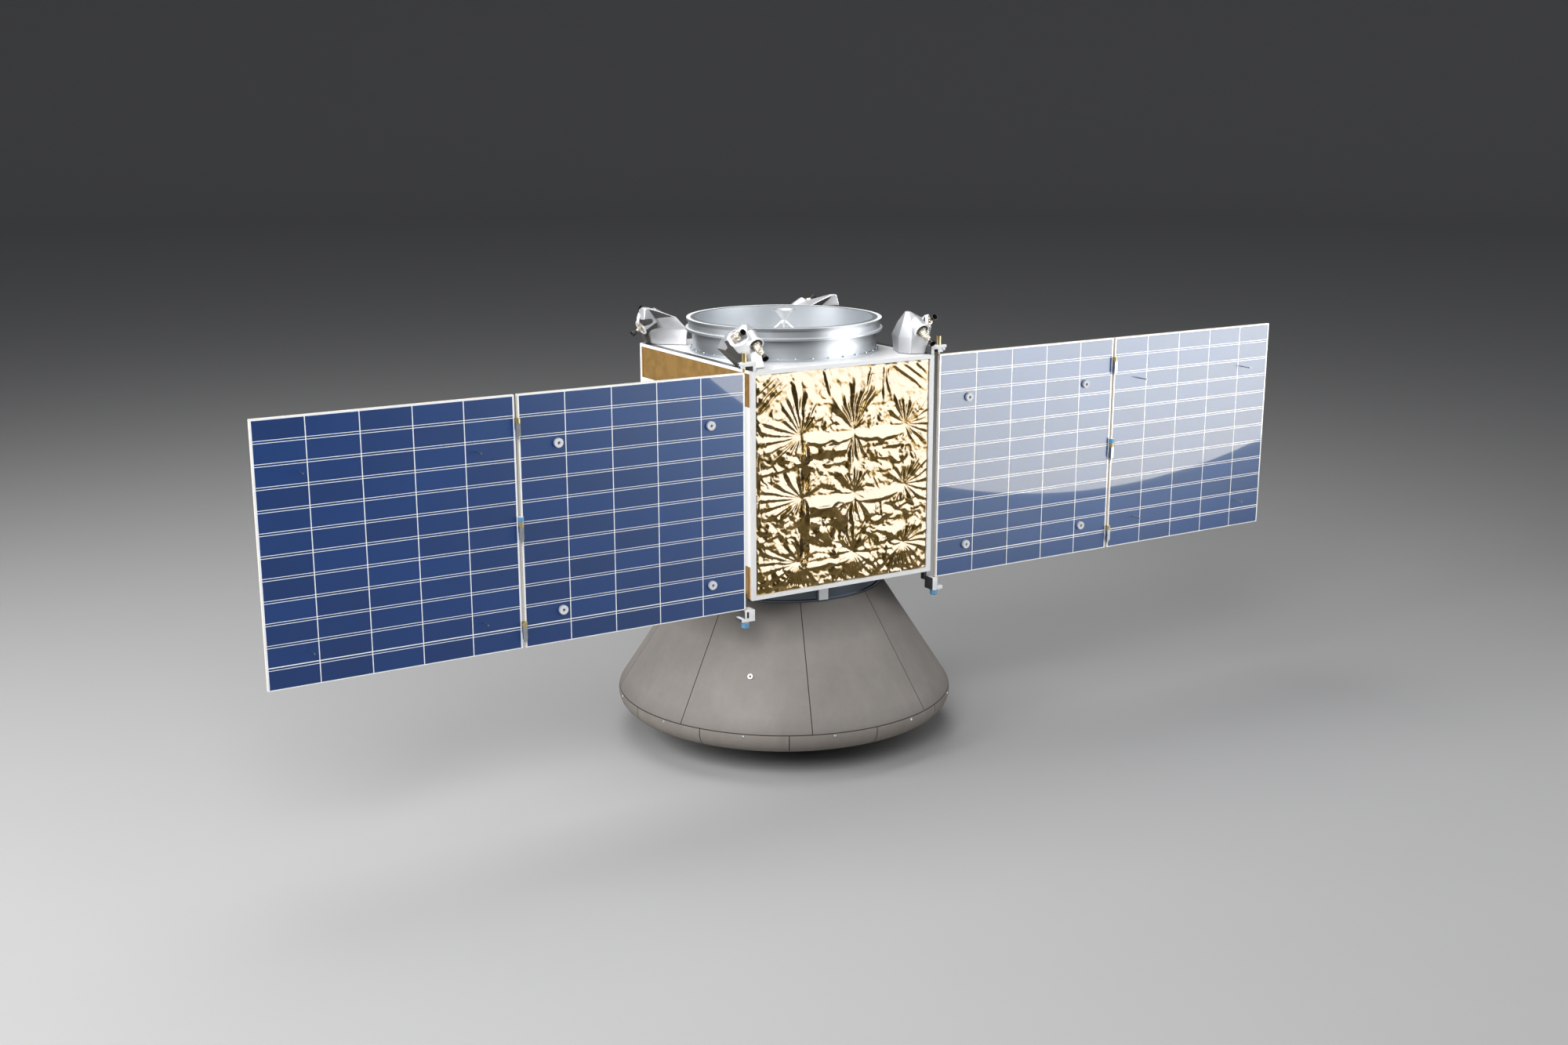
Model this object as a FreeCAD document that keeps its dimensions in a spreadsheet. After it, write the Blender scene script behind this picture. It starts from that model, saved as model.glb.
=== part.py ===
"""Small recovery satellite: a blunt return capsule carrying a box bus with two folding solar wings.

Millimetres, +Z up. The origin is on the capsule's axis, on the floor it stands on. The front is -Y
and the wings reach out along X. Every piece is an object of one document, bound to the sheet "sizes".
"""
import FreeCAD
import Part
import Sketcher
import math
import os
from FreeCAD import Placement, Rotation, Vector

# ---------------------------------------------------------------- driving sizes, in millimetres

SIZES = {
    # return capsule
    "capsule_radius": 450.0,      # widest, at the rim plane
    "shoulder_radius": 42.0,      # rounding between heat shield and cone
    "cone_slope": 33.0,           # degrees from the axis
    "cone_height": 302.0,         # rim plane to cone top
    "shell_thickness": 22.0,
    "dome_radius": 1080.0,        # outer face of the heat shield
    "shield_thickness": 30.0,
    "stand_radius": 150.0,        # flat tile in the middle of the shield
    "shoulder_seam": 11.0,        # rim plane to the seam above it
    "seam_gap": 0.9,              # between neighbouring tiles and panels
    "fit_gap": 0.3,               # between pieces that seat on each other
    "lid_thickness": 12.0,        # capsule's upper bulkhead
    "port_radius": 7.0,
    "port_bore": 2.8,
    "port_height": 137.0,         # above the rim plane
    "port_proud": 3.0,
    "payload_radius": 180.0,
    "payload_height": 230.0,
    # separation ring
    "ring_height": 43.0,
    "ring_margin": 1.95,          # in from the cone's top edge
    "ring_flange": 16.0,
    "ring_lip": 5.0,
    "ring_wall": 6.0,
    "ring_inset": 4.0,
    "clamp_width": 26.0,
    "clamp_depth": 12.0,
    # bus
    "bus_width": 545.2,
    "bus_depth": 584.4,
    "bus_height": 574.4,
    "deck_thickness": 8.0,
    "frame_thickness": 8.0,
    "frame_upright": 12.0,
    "frame_rail": 10.5,
    "side_thickness": 6.0,
    "film_height": 82.0,          # amber strips above and below the white side panel
    "film_lift": 2.0,
    "blanket_thickness": 7.0,
    "tank_radius": 150.0,
    "tank_height": 430.0,
    # launch ring on the top deck
    "launch_bore": 232.0,
    "launch_wall": 8.0,
    "launch_base": 246.0,
    "launch_base_lip": 6.0,
    "launch_band": 250.0,
    "launch_lower_lip": 256.8,
    "launch_upper_lip": 254.6,
    "launch_step": 53.7,          # deck to the underside of the lower lip
    "launch_lip": 6.0,
    "launch_height": 85.0,
    # main thruster
    "bell_exit": 34.0,
    "bell_wall": 1.6,
    "bell_throat": 9.0,
    "bell_swell": 16.0,           # gain in radius over the first third
    "bell_height": 102.4,         # deck to the mouth
    "bell_length": 32.0,
    "chamber_radius": 15.0,
    "chamber_foot": 28.0,
    "mount_radius": 27.0,
    "mount_plate": 5.0,
    "mount_spread": 66.0,
    "mount_leg": 4.0,
    "mount_pad": 9.0,
    # thruster pods
    "pod_height": 104.0,
    "socket_radius": 15.0,
    "socket_rim": 4.0,
    "socket_depth": 12.0,
    "socket_proud": 2.0,
    "socket_root": 24.0,          # how far a socket runs on into its housing
    "jet_barrel": 10.0,
    "jet_step": 6.5,              # radius and length of the step behind the flare
    "jet_throat": 4.0,
    "jet_mouth": 8.6,
    "jet_wall": 1.5,
    "jet_flare": 14.0,
    # wings
    "panel_width": 589.1,
    "panel_over": 17.5,           # taller than the bus
    "panel_thickness": 10.0,
    "panel_drop": 19.2,           # panel's foot below the bus's floor
    "panel_inset": 1.3,           # cell face behind the bus's front
    "root_stand": 16.9,           # root hinge axis out from the bus's side
    "root_gap": 1.7,              # root hinge axis to the panel's edge
    "middle_gap": 7.5,            # between the two panels
    "fold_gap": 12.0,             # between the cell faces when folded
    # wing hinges
    "pin_radius": 2.6,
    "pin_fit": 0.05,              # play round a pin
    "hinge_pin": 2.1,
    "pin_clearance": 0.3,
    "root_post": 3.4,
    "root_cap": 6.8,
    "root_cap_height": 22.5,
    "root_plate": 10.0,
    "root_plate_depth": 18.0,
    "root_lift": 13.0,            # top bracket's shelf above the deck
    "root_drop": 5.0,             # lower bracket below the panel's foot
    "bracket_leg": 9.0,
    "tab_reach": 19.0,
    "tab_depth": 9.0,
    "tab_thickness": 3.0,
    "hanger_height": 34.0,
    "hanger_width": 14.0,
    "hanger_cheek": 5.0,
    "hanger_tail": 26.0,
    "face_depth": 6.0,
    "slot_width": 4.5,
    "lug_reach": 15.0,
    "lug_depth": 14.0,
    "blue_cap": 10.5,
    "blue_cap_height": 16.0,
    "knuckle_radius": 5.5,
    "knuckle_height": 36.0,
    "leaf_reach": 12.0,
    "cap_radius": 6.75,
    "cap_height": 11.0,
    "button_height": 12.0,
    # hold-down cups and rods
    "cup_radius": 11.0,
    "cup_height": 7.0,
    "cup_bore": 3.5,
    "cup_inner": 96.9,            # root hinge axis to the first cup
    "cup_outer": 99.55,           # middle hinge axis to the second cup
    "cup_low": 77.4,              # panel's foot to the lower cups
    "cup_rise": 395.5,            # between lower and upper cups
    "rod_radius": 1.4,
    "rod_length": 30.0,
}

# counts, and where the first of each lies, in degrees from +X
GORES, GORE_TURN = 8, 22.5
SHOULDER_TILES, TILE_TURN = 12, 0.0
CLAMPS, CLAMP_TURN = 3, -99.5
LEGS, LEG_TURN = 4, 45.0
PORT_TURN = -135.0
BEYOND = 10.0                     # how far a cutting tool runs past what it cuts

document = FreeCAD.newDocument("satellite")
sheet = document.addObject("Spreadsheet::Sheet", "sizes")
for row, (alias, number) in enumerate(SIZES.items(), start=1):
    sheet.set("A%d" % row, alias)
    sheet.set("B%d" % row, str(number))
    sheet.setAlias("B%d" % row, alias)
document.recompute()


# ---------------------------------------------------------------- sizes that carry their expression

class Size:
    """A length with the expression that binds it to the sheet."""

    def __init__(self, number, text):
        self.number = number
        self.text = text

    def __add__(self, other):
        other = size_of(other)
        return Size(self.number + other.number, "(%s + %s)" % (self.text, other.text))

    def __sub__(self, other):
        other = size_of(other)
        return Size(self.number - other.number, "(%s - %s)" % (self.text, other.text))

    def __mul__(self, other):
        other = size_of(other)
        return Size(self.number * other.number, "(%s * %s)" % (self.text, other.text))

    def __truediv__(self, other):
        other = size_of(other)
        return Size(self.number / other.number, "(%s / %s)" % (self.text, other.text))

    def __neg__(self):
        return Size(-self.number, "(0 - %s)" % self.text)

    def __radd__(self, other):
        return size_of(other) + self

    def __rsub__(self, other):
        return size_of(other) - self

    def __rmul__(self, other):
        return size_of(other) * self

    def root(self):
        return Size(math.sqrt(self.number), "sqrt(%s)" % self.text)

    def sine(self):
        return Size(math.sin(math.radians(self.number)), "sin(%s)" % self.text)

    def cosine(self):
        return Size(math.cos(math.radians(self.number)), "cos(%s)" % self.text)


def size_of(value):
    if isinstance(value, Size):
        return value
    return Size(float(value), repr(float(value)))


def size(alias):
    return Size(float(sheet.get(alias)), "<<sizes>>.%s" % alias)


def bind(item, name, value):
    value = size_of(value)
    item.setExpression(name, value.text)


# ---------------------------------------------------------------- ways of making a piece

def place(item, at, rotation=Rotation()):
    item.Placement = Placement(Vector(*[size_of(value).number for value in at]), rotation)
    for letter, value in zip("xyz", at):
        bind(item, "Placement.Base.%s" % letter, value)


def block(name, centre, extent, turn=0.0):
    """A box given by its centre and its three lengths, turned about Z on its centre."""
    item = document.addObject("Part::Box", name)
    for side, value in zip(("Length", "Width", "Height"), extent):
        bind(item, side, value)
    half = [size_of(value) / 2 for value in extent]
    cosine = size_of(math.cos(math.radians(turn)))
    sine = size_of(math.sin(math.radians(turn)))
    at = (centre[0] - half[0] * cosine + half[1] * sine,
          centre[1] - half[0] * sine - half[1] * cosine,
          centre[2] - half[2])
    place(item, at, Rotation(Vector(0, 0, 1), turn))
    return item


def cylinder(name, foot, radius, height, rotation=Rotation()):
    item = document.addObject("Part::Cylinder", name)
    bind(item, "Radius", radius)
    bind(item, "Height", height)
    place(item, foot, rotation)
    return item


def join(name, items):
    item = document.addObject("Part::MultiFuse", name)
    item.Shapes = items
    return item


def cut(name, base, tools):
    item = document.addObject("Part::Cut", name)
    item.Base = base
    item.Tool = tools[0] if len(tools) == 1 else join(name + "_tools", tools)
    return item


def together(name, items):
    item = document.addObject("Part::Compound", name)
    item.Links = items
    return item


def turned(name, outline):
    """A solid of revolution about Z. Each outline row is (radius, height, arc centre or None).

    The arc centre belongs to the edge that starts at its row and is given as (radius, height).
    """
    body = document.addObject("PartDesign::Body", name)
    sketch = body.newObject("Sketcher::SketchObject", name + "_outline")
    plane = [item for item in body.Origin.OriginFeatures if item.Role == "XZ_Plane"][0]
    sketch.AttachmentSupport = (plane, "")
    sketch.MapMode = "FlatFace"
    points = [Vector(row[0].number, row[1].number, 0) for row in outline]
    count = len(outline)
    starts = []
    for index, row in enumerate(outline):
        start, end = points[index], points[(index + 1) % count]
        if row[2] is None:
            sketch.addGeometry(Part.LineSegment(start, end))
            starts.append((index, 1, 2))
            continue
        centre = Vector(row[2][0].number, row[2][1].number, 0)
        first = math.atan2(start.y - centre.y, start.x - centre.x)
        last = math.atan2(end.y - centre.y, end.x - centre.x)
        circle = Part.Circle(centre, Vector(0, 0, 1), (start - centre).Length)
        forward = (last - first) % (2 * math.pi) < math.pi
        if forward:
            sketch.addGeometry(Part.ArcOfCircle(circle, first, last))
        else:
            sketch.addGeometry(Part.ArcOfCircle(circle, last, first))
        starts.append((index, 1, 2) if forward else (index, 2, 1))
    for index in range(count):
        following = starts[(index + 1) % count]
        sketch.addConstraint(Sketcher.Constraint(
            "Coincident", starts[index][0], starts[index][2], following[0], following[1]))
    for index, row in enumerate(outline):
        pins = [(starts[index][0], starts[index][1], row[0], row[1])]
        if row[2] is not None:
            pins.append((index, 3, row[2][0], None))
        for edge, end, across, up in pins:
            pin_point(sketch, edge, end, "DistanceX", across)
            if up is not None:
                pin_point(sketch, edge, end, "DistanceY", up)
    feature = body.newObject("PartDesign::Revolution", name + "_turn")
    feature.Profile = sketch
    feature.ReferenceAxis = (sketch, ["V_Axis"])
    feature.Angle = 360.0
    body.Tip = feature
    return body


def pin_point(sketch, edge, end, kind, value):
    """Hold a sketch point at a distance from the sketch's origin."""
    if abs(value.number) < 1e-9:
        axis = -2 if kind == "DistanceX" else -1
        sketch.addConstraint(Sketcher.Constraint("PointOnObject", edge, end, axis))
        return
    index = sketch.addConstraint(Sketcher.Constraint(kind, -1, 1, edge, end, value.number))
    sketch.setExpression("Constraints[%d]" % index, value.text)


def name_it(item, label):
    item.Label = label
    NODES.append(item)


NODES = []
TO_FRONT = Rotation(Vector(1, 0, 0), 90)      # a cylinder's axis along -Y
ZERO = size_of(0)


def polar(radius, degrees):
    angle = math.radians(degrees)
    return radius * math.cos(angle), radius * math.sin(angle)


# ---------------------------------------------------------------- levels that pieces share

gap = size("fit_gap")
seam = size("seam_gap")
dome_centre = (size("dome_radius") * size("dome_radius")
               - size("stand_radius") * size("stand_radius")).root()
shoulder_axis = size("capsule_radius") - size("shoulder_radius")
dome_to_shoulder = size("dome_radius") - size("shoulder_radius")
rim = dome_centre - (dome_to_shoulder * dome_to_shoulder - shoulder_axis * shoulder_axis).root()
cone_top = rim + size("cone_height")
slope = size("cone_slope")
lean = slope.sine() / slope.cosine()
tangent_across = shoulder_axis + size("shoulder_radius") * slope.cosine()
tangent_up = rim + size("shoulder_radius") * slope.sine()
top_across = tangent_across - (cone_top - tangent_up) * lean
floor_low = cone_top + size("ring_height")
deck_top = floor_low + size("bus_height")
panel_low = floor_low - size("panel_drop")
panel_high = size("bus_height") + size("panel_over")
panel_top = panel_low + panel_high
half_width = size("bus_width") / 2
half_depth = size("bus_depth") / 2
root_reach = half_width + size("root_stand")


# ---------------------------------------------------------------- return capsule

def on_sphere(radius, across):
    """Height of a sphere about the dome's centre, at a distance from the axis."""
    return dome_centre - (radius * radius - across * across).root()


def heat_shield():
    outer, inner = size("dome_radius"), size("dome_radius") - size("shield_thickness")
    edge = shoulder_axis * outer / dome_to_shoulder - gap
    inner_edge = shoulder_axis * inner / dome_to_shoulder - gap
    centre = (ZERO, dome_centre)
    body = turned("heat_shield", [
        (ZERO, ZERO, None),
        (size("stand_radius"), ZERO, centre),
        (edge, on_sphere(outer, edge), None),
        (inner_edge, on_sphere(inner, inner_edge), centre),
        (ZERO, dome_centre - inner, None),
    ])
    name_it(body, "heat_shield")


def seam_blades(name, count, first, low, high):
    """Thin plates through the axis that part a ring into equal pieces."""
    reach = (size("capsule_radius") + BEYOND) * 2
    return [block("%s_blade_%d" % (name, index), (ZERO, ZERO, (low + high) / 2),
                  (reach, seam, high - low), first + index * 360.0 / count)
            for index in range(count // 2)]


def shoulder_arc(height):
    """Distance from the axis to the shoulder's face, at a height above the rim plane."""
    return shoulder_axis + (size("shoulder_radius") * size("shoulder_radius") - height * height).root()


def shoulder_tiles():
    outer, inner = size("dome_radius"), size("dome_radius") - size("shield_thickness")
    edge = shoulder_axis * outer / dome_to_shoulder
    inner_edge = shoulder_axis * inner / dome_to_shoulder
    top = size("shoulder_seam")
    ring = turned("shoulder_ring", [
        (edge, on_sphere(outer, edge), (shoulder_axis, rim)),
        (shoulder_arc(top), rim + top, None),
        (shoulder_arc(top) - size("shell_thickness"), rim + top, None),
        (inner_edge, on_sphere(inner, inner_edge), None),
    ])
    blades = seam_blades("shoulder", SHOULDER_TILES, TILE_TURN, ZERO, rim * 2)
    name_it(cut("shoulder_cut", ring, blades), "shoulder_tiles")


def cone_panels():
    thick = size("shell_thickness")
    foot = size("shoulder_seam") + seam
    inner_shift = thick / slope.cosine()
    inner_foot = tangent_across + (tangent_up - rim - foot) * lean - inner_shift
    ring = turned("cone_ring", [
        (shoulder_arc(foot), rim + foot, (shoulder_axis, rim)),
        (tangent_across, tangent_up, None),
        (top_across, cone_top, None),
        (top_across - inner_shift, cone_top, None),
        (inner_foot, rim + foot, None),
    ])
    blades = seam_blades("cone", GORES, GORE_TURN, rim, cone_top + BEYOND)
    level = size("port_height")
    across = tangent_across - (rim + level - tangent_up) * lean
    axis = Vector(*polar(math.cos(math.radians(slope.number)), PORT_TURN), math.sin(math.radians(slope.number)))
    rotation = Rotation(Vector(0, 0, 1), axis)

    def along(distance):
        ahead = across + distance * slope.cosine()
        x, y = polar(1.0, PORT_TURN)
        return ahead * x, ahead * y, rim + level + distance * slope.sine()

    depth = thick + BEYOND
    hole = cylinder("port_hole", along(-depth), size("port_radius") + gap, depth * 2, rotation)
    name_it(cut("cone_cut", ring, blades + [hole]), "cone_panels")
    stub = cylinder("port_stub", along(-thick), size("port_radius"),
                    thick + size("port_proud"), rotation)
    bore = cylinder("port_bore", along(-depth), size("port_bore"), depth * 2, rotation)
    name_it(cut("port_cut", stub, [bore]), "port_sleeve")
    return top_across - inner_shift


def capsule_inside(lid_edge):
    lid = size("lid_thickness")
    name_it(cylinder("lid", (ZERO, ZERO, cone_top - lid), lid_edge - gap, lid), "capsule_lid")
    radius = size("payload_radius")
    inner = size("dome_radius") - size("shield_thickness")
    foot = on_sphere(inner, radius) + gap
    name_it(cylinder("payload", (ZERO, ZERO, foot), radius, size("payload_height")), "payload_canister")


def separation_ring():
    outer, lip = top_across - size("ring_margin"), size("ring_lip")
    web = outer - size("ring_inset")
    inner_lip, inner_web = outer - size("ring_flange"), web - size("ring_wall")
    top = floor_low
    name_it(turned("ring", [
        (inner_lip, cone_top, None),
        (outer, cone_top, None),
        (outer, cone_top + lip, None),
        (web, cone_top + lip, None),
        (web, top - lip, None),
        (outer, top - lip, None),
        (outer, top, None),
        (inner_lip, top, None),
        (inner_lip, top - lip, None),
        (inner_web, top - lip, None),
        (inner_web, cone_top + lip, None),
        (inner_lip, cone_top + lip, None),
    ]), "separation_ring")
    deep, wide = size("clamp_depth"), size("clamp_width")
    high = size("ring_height") - lip * 2 - gap * 2
    shoe = web + deep / 2 + gap * 2
    clamps = []
    for index in range(CLAMPS):
        turn = CLAMP_TURN + index * 360.0 / CLAMPS
        x, y = polar(1.0, turn)
        clamps.append(block("clamp_%d" % index, (shoe * x, shoe * y, (cone_top + top) / 2),
                            (deep, wide, high), turn))
    name_it(together("clamps", clamps), "ring_clamps")


# ---------------------------------------------------------------- bus

def bus_shell():
    deck, skin, frame = size("deck_thickness"), size("side_thickness"), size("frame_thickness")
    inside_depth = size("bus_depth") - frame * 2
    name_it(block("floor", (ZERO, ZERO, floor_low + deck / 2),
                  (size("bus_width") - skin * 2, inside_depth, deck)), "bus_floor")
    name_it(block("deck", (ZERO, ZERO, deck_top - deck / 2),
                  (size("bus_width"), inside_depth, deck)), "top_deck")
    wide, high = size("bus_width"), size("bus_height")
    middle = floor_low + high / 2
    upright, rail = size("frame_upright"), size("frame_rail")
    window = (wide - upright * 2, high - rail * 2)
    cover = size("blanket_thickness")
    for end, sign in (("front", -1), ("back", 1)):
        frame_y = sign * (half_depth - frame / 2)
        bars = []
        for part, way in (("low", -1), ("high", 1)):
            bars.append(block("%s_%s_rail" % (end, part), (ZERO, frame_y, middle + way * (high - rail) / 2),
                              (window[0] - gap * 2, frame, rail)))
            bars.append(block("%s_%s_upright" % (end, part), (way * (wide - upright) / 2, frame_y, middle),
                              (upright, frame, high)))
        name_it(together(end + "_bars", bars), end + "_frame")
        cover_y = sign * (half_depth - frame + gap + cover / 2)
        name_it(block(end + "_cover", (ZERO, cover_y, middle),
                      (window[0] - gap * 2, cover, window[1] - gap * 2)), end + "_blanket")
    strip = size("film_height")
    low, top = floor_low + size("film_lift"), deck_top - deck
    for side, sign in (("left", -1), ("right", 1)):
        skin_x = sign * (half_width - skin / 2)
        panel_foot, panel_head = low + strip, top - strip
        name_it(block(side + "_skin", (skin_x, ZERO, (panel_foot + panel_head) / 2),
                      (skin, inside_depth, panel_head - panel_foot)), side + "_side_panel")
        strips = [block("%s_strip_%s" % (side, part), (skin_x, ZERO, level + strip / 2),
                        (skin, inside_depth, strip))
                  for part, level in (("low", low), ("high", panel_head))]
        name_it(together(side + "_strips", strips), side + "_film_strips")
    name_it(cylinder("tank", (ZERO, ZERO, floor_low + deck), size("tank_radius"), size("tank_height")),
            "propellant_tank")


def launch_ring():
    bore, wall = size("launch_bore"), size("launch_bore") + size("launch_wall")
    lip, step = size("launch_lip"), deck_top + size("launch_step")
    top = deck_top + size("launch_height")
    base = deck_top + size("launch_base_lip")
    name_it(turned("launch", [
        (bore, deck_top, None),
        (size("launch_base"), deck_top, None),
        (size("launch_base"), base, None),
        (wall, base, None),
        (wall, step, None),
        (size("launch_lower_lip"), step, None),
        (size("launch_lower_lip"), step + lip, None),
        (size("launch_band"), step + lip, None),
        (size("launch_band"), top - lip, None),
        (size("launch_upper_lip"), top - lip, None),
        (size("launch_upper_lip"), top, None),
        (bore, top, None),
    ]), "launch_ring")


def main_thruster():
    mouth = deck_top + size("bell_height")
    throat = mouth - size("bell_length")
    wall, chamber = size("bell_wall"), size("chamber_radius")
    foot = deck_top + size("chamber_foot")
    exit_radius, throat_radius = size("bell_exit"), size("bell_throat")
    middle = throat_radius + size("bell_swell")
    third = throat + size("bell_length") / 3
    name_it(turned("thruster", [
        (ZERO, foot, None),
        (chamber, foot, None),
        (chamber, throat - chamber, None),
        (throat_radius, throat, None),
        (middle, third, None),
        (exit_radius, mouth, None),
        (exit_radius - wall, mouth, None),
        (middle - wall, third, None),
        (throat_radius - wall, throat, None),
        (ZERO, throat, None),
    ]), "main_thruster")
    plate, radius = size("mount_plate"), size("mount_radius")
    level = foot + size("mount_plate") * 2
    spread, leg = size("mount_spread"), size("mount_leg")
    disc = cylinder("mount_disc", (ZERO, ZERO, level), radius, plate)
    hole = cylinder("mount_hole", (ZERO, ZERO, level - plate), chamber + gap, plate * 3)
    pieces = [cut("mount_ring", disc, [hole])]
    run = spread - radius + leg
    rise = level - deck_top
    for index in range(LEGS):
        turn = LEG_TURN + index * 360.0 / LEGS
        x, y = polar(1.0, turn)
        foot_x, foot_y = spread * x, spread * y
        axis = Vector(-run.number * x, -run.number * y, rise.number)
        length = (run * run + rise * rise).root()
        pieces.append(cylinder("mount_leg_%d" % index, (foot_x, foot_y, deck_top), leg, length,
                               Rotation(Vector(0, 0, 1), axis)))
        pieces.append(cylinder("mount_pad_%d" % index, (foot_x, foot_y, deck_top), size("mount_pad"), plate / 2))
    whole = join("mount_whole", pieces)
    below = block("mount_below", (ZERO, ZERO, deck_top - plate * 2), (spread * 4, spread * 4, plate * 4))
    name_it(cut("mount_cut", whole, [below]), "thruster_mount")


# Pod tables are for a pod this high. In each corner: in from the bus's right side, in from its front or back.
POD_DRAWN = 104.0
FRONT_SHELL = (
    (0.0, ((40.6, 126.2), (66.6, 66.2), (54.6, 30.2), (16.6, 20.2), (10.6, 42.2), (10.6, 94.2))),
    (42.0, ((45.6, 128.2), (66.6, 66.2), (50.6, 30.2), (4.6, 16.2), (-23.4, 52.2), (-21.4, 132.2))),
    (74.0, ((32.6, 120.2), (60.6, 60.2), (48.6, 34.2), (4.6, 24.2), (-27.4, 52.2), (-31.4, 86.2))),
    (104.0, ((31.6, 88.2), (36.6, 80.2), (33.6, 72.2), (27.6, 70.2), (22.6, 78.2), (24.6, 88.2))),
)
BACK_SHELL = (
    (0.0, ((84.6, 106.2), (20.6, 52.2), (6.6, 30.2), (4.6, 4.2), (32.6, 5.2), (72.6, 8.2))),
    (42.0, ((92.6, 100.2), (20.6, 56.2), (-15.4, 46.2), (-25.4, 2.2), (2.6, -3.8), (76.6, 4.2))),
    (74.0, ((66.6, 82.2), (10.6, 66.2), (-33.4, 92.2), (-37.4, 12.2), (-5.4, -3.8), (66.6, 2.2))),
    (104.0, ((-13.4, 80.2), (-19.4, 84.2), (-27.4, 86.2), (-31.4, 76.2), (-27.4, 66.2), (-15.4, 70.2))),
)
JETS = (
    # name, mouth (in, in, height), way it points (outboard, forward or aft, up), mouth to collar
    ("front", (("high", (-12.1, 17.7, 93.5), (-0.03, 0.88, 0.47), 30.0),
               ("low", (24.8, -25.5, 31.6), (0.02, 0.86, -0.52), 55.0))),
    ("back", (("high", (-1.9, 7.5, 93.5), (0.88, 0.03, 0.47), 38.0),
              ("low", (-45.1, 44.4, 31.6), (0.86, 0.02, -0.52), 31.0))),
)


def flat_outline(name, points, height):
    """A closed outline of straight edges in a level plane."""
    sketch = document.addObject("Sketcher::SketchObject", name)
    corners = [Vector(x.number, y.number, 0) for x, y in points]
    count = len(points)
    for index in range(count):
        sketch.addGeometry(Part.LineSegment(corners[index], corners[(index + 1) % count]))
    for index in range(count):
        sketch.addConstraint(Sketcher.Constraint("Coincident", index, 2, (index + 1) % count, 1))
    for index, (x, y) in enumerate(points):
        pin_point(sketch, index, 1, "DistanceX", x)
        pin_point(sketch, index, 1, "DistanceY", y)
    place(sketch, (ZERO, ZERO, height))
    return sketch


def jet_body(name, length):
    """A stepped barrel with a flared, hollow mouth, standing on the origin."""
    barrel, step = size("jet_barrel"), size("jet_step")
    throat, mouth, wall = size("jet_throat"), size("jet_mouth"), size("jet_wall")
    flare = size("jet_flare")
    return turned(name, [
        (ZERO, ZERO, None),
        (barrel, ZERO, None),
        (barrel, length - flare - step, None),
        (step, length - flare - step, None),
        (step, length - flare, None),
        (throat, length - flare, None),
        (mouth, length, None),
        (mouth - wall, length, None),
        (throat - wall, length - flare, None),
        (ZERO, length - flare, None),
    ])


def mirrored(name, item):
    copy = document.addObject("Part::Mirroring", name)
    copy.Source = item
    copy.Normal = Vector(1, 0, 0)
    return copy


def thruster_pods():
    unit = size("pod_height") / POD_DRAWN
    bore, rim_wall = size("socket_radius"), size("socket_rim")
    depth, proud, root = size("socket_depth"), size("socket_proud"), size("socket_root")
    for (end, jets), shell, along_y in zip(JETS, (FRONT_SHELL, BACK_SHELL), (-1, 1)):
        tag = end + "_right"

        def corner(in_x, in_y):
            return half_width - unit * in_x, along_y * (half_depth - unit * in_y)

        levels = [flat_outline("%s_level_%d" % (tag, index), [corner(*spot) for spot in spots],
                               deck_top + unit * height)
                  for index, (height, spots) in enumerate(shell)]
        loft = document.addObject("Part::Loft", tag + "_shell")
        loft.Sections = levels
        loft.Solid, loft.Ruled = True, True
        collars, bores, barrels = [], [], []
        for jet, (in_x, in_y, height), (out, ahead, rise), reach in jets:
            axis = Vector(out, along_y * ahead, rise).normalize()
            turn = Rotation(Vector(0, 0, 1), axis)
            mouth = corner(in_x, in_y) + (deck_top + unit * height,)

            def behind(distance):
                return [level - distance * part for level, part in zip(mouth, axis)]

            name = "%s_%s" % (tag, jet)
            seat = unit * reach + depth
            collars.append(cylinder(name + "_collar", behind(seat + root), bore + rim_wall,
                                    depth + root + proud, turn))
            bores.append(cylinder(name + "_bore", behind(seat), bore, depth * 3, turn))
            barrel = jet_body(name + "_barrel", seat)
            place(barrel, behind(seat), turn)
            barrels.append(barrel)
        pod = cut(tag + "_cut", join(tag + "_sum", [loft] + collars), bores)
        pair = together(tag + "_pair", barrels)
        name_it(pod, tag + "_pod")
        name_it(pair, tag + "_jets")
        name_it(mirrored(end + "_left_shell", pod), end + "_left_pod")
        name_it(mirrored(end + "_left_pair", pair), end + "_left_jets")


# ---------------------------------------------------------------- wings

face_y = size("panel_inset") - half_depth
back_y = face_y + size("panel_thickness")
middle_y = (face_y + back_y) / 2
root_edge = root_reach + size("root_gap")
inner_end = root_edge + size("panel_width")
middle_x = inner_end + size("middle_gap") / 2
fold_y = face_y - size("fold_gap") / 2
rod_tip = size("rod_length") - size("fold_gap") / 2
# the rods stand a little inboard, so that their arc stays in the middle of the cups' bores
rod_arc = (size("cup_outer") * size("cup_outer") + rod_tip * rod_tip).root() - size("cup_outer")
folded_cups = (inner_end - size("cup_outer") + size("middle_gap") / 2, root_reach + size("cup_inner"))

HINGES = (
    # name, foot above the panel's foot, cap above it
    ("low", 17.0, False),
    ("middle", 253.0, True),
    ("high", 492.0, False),
)


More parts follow.
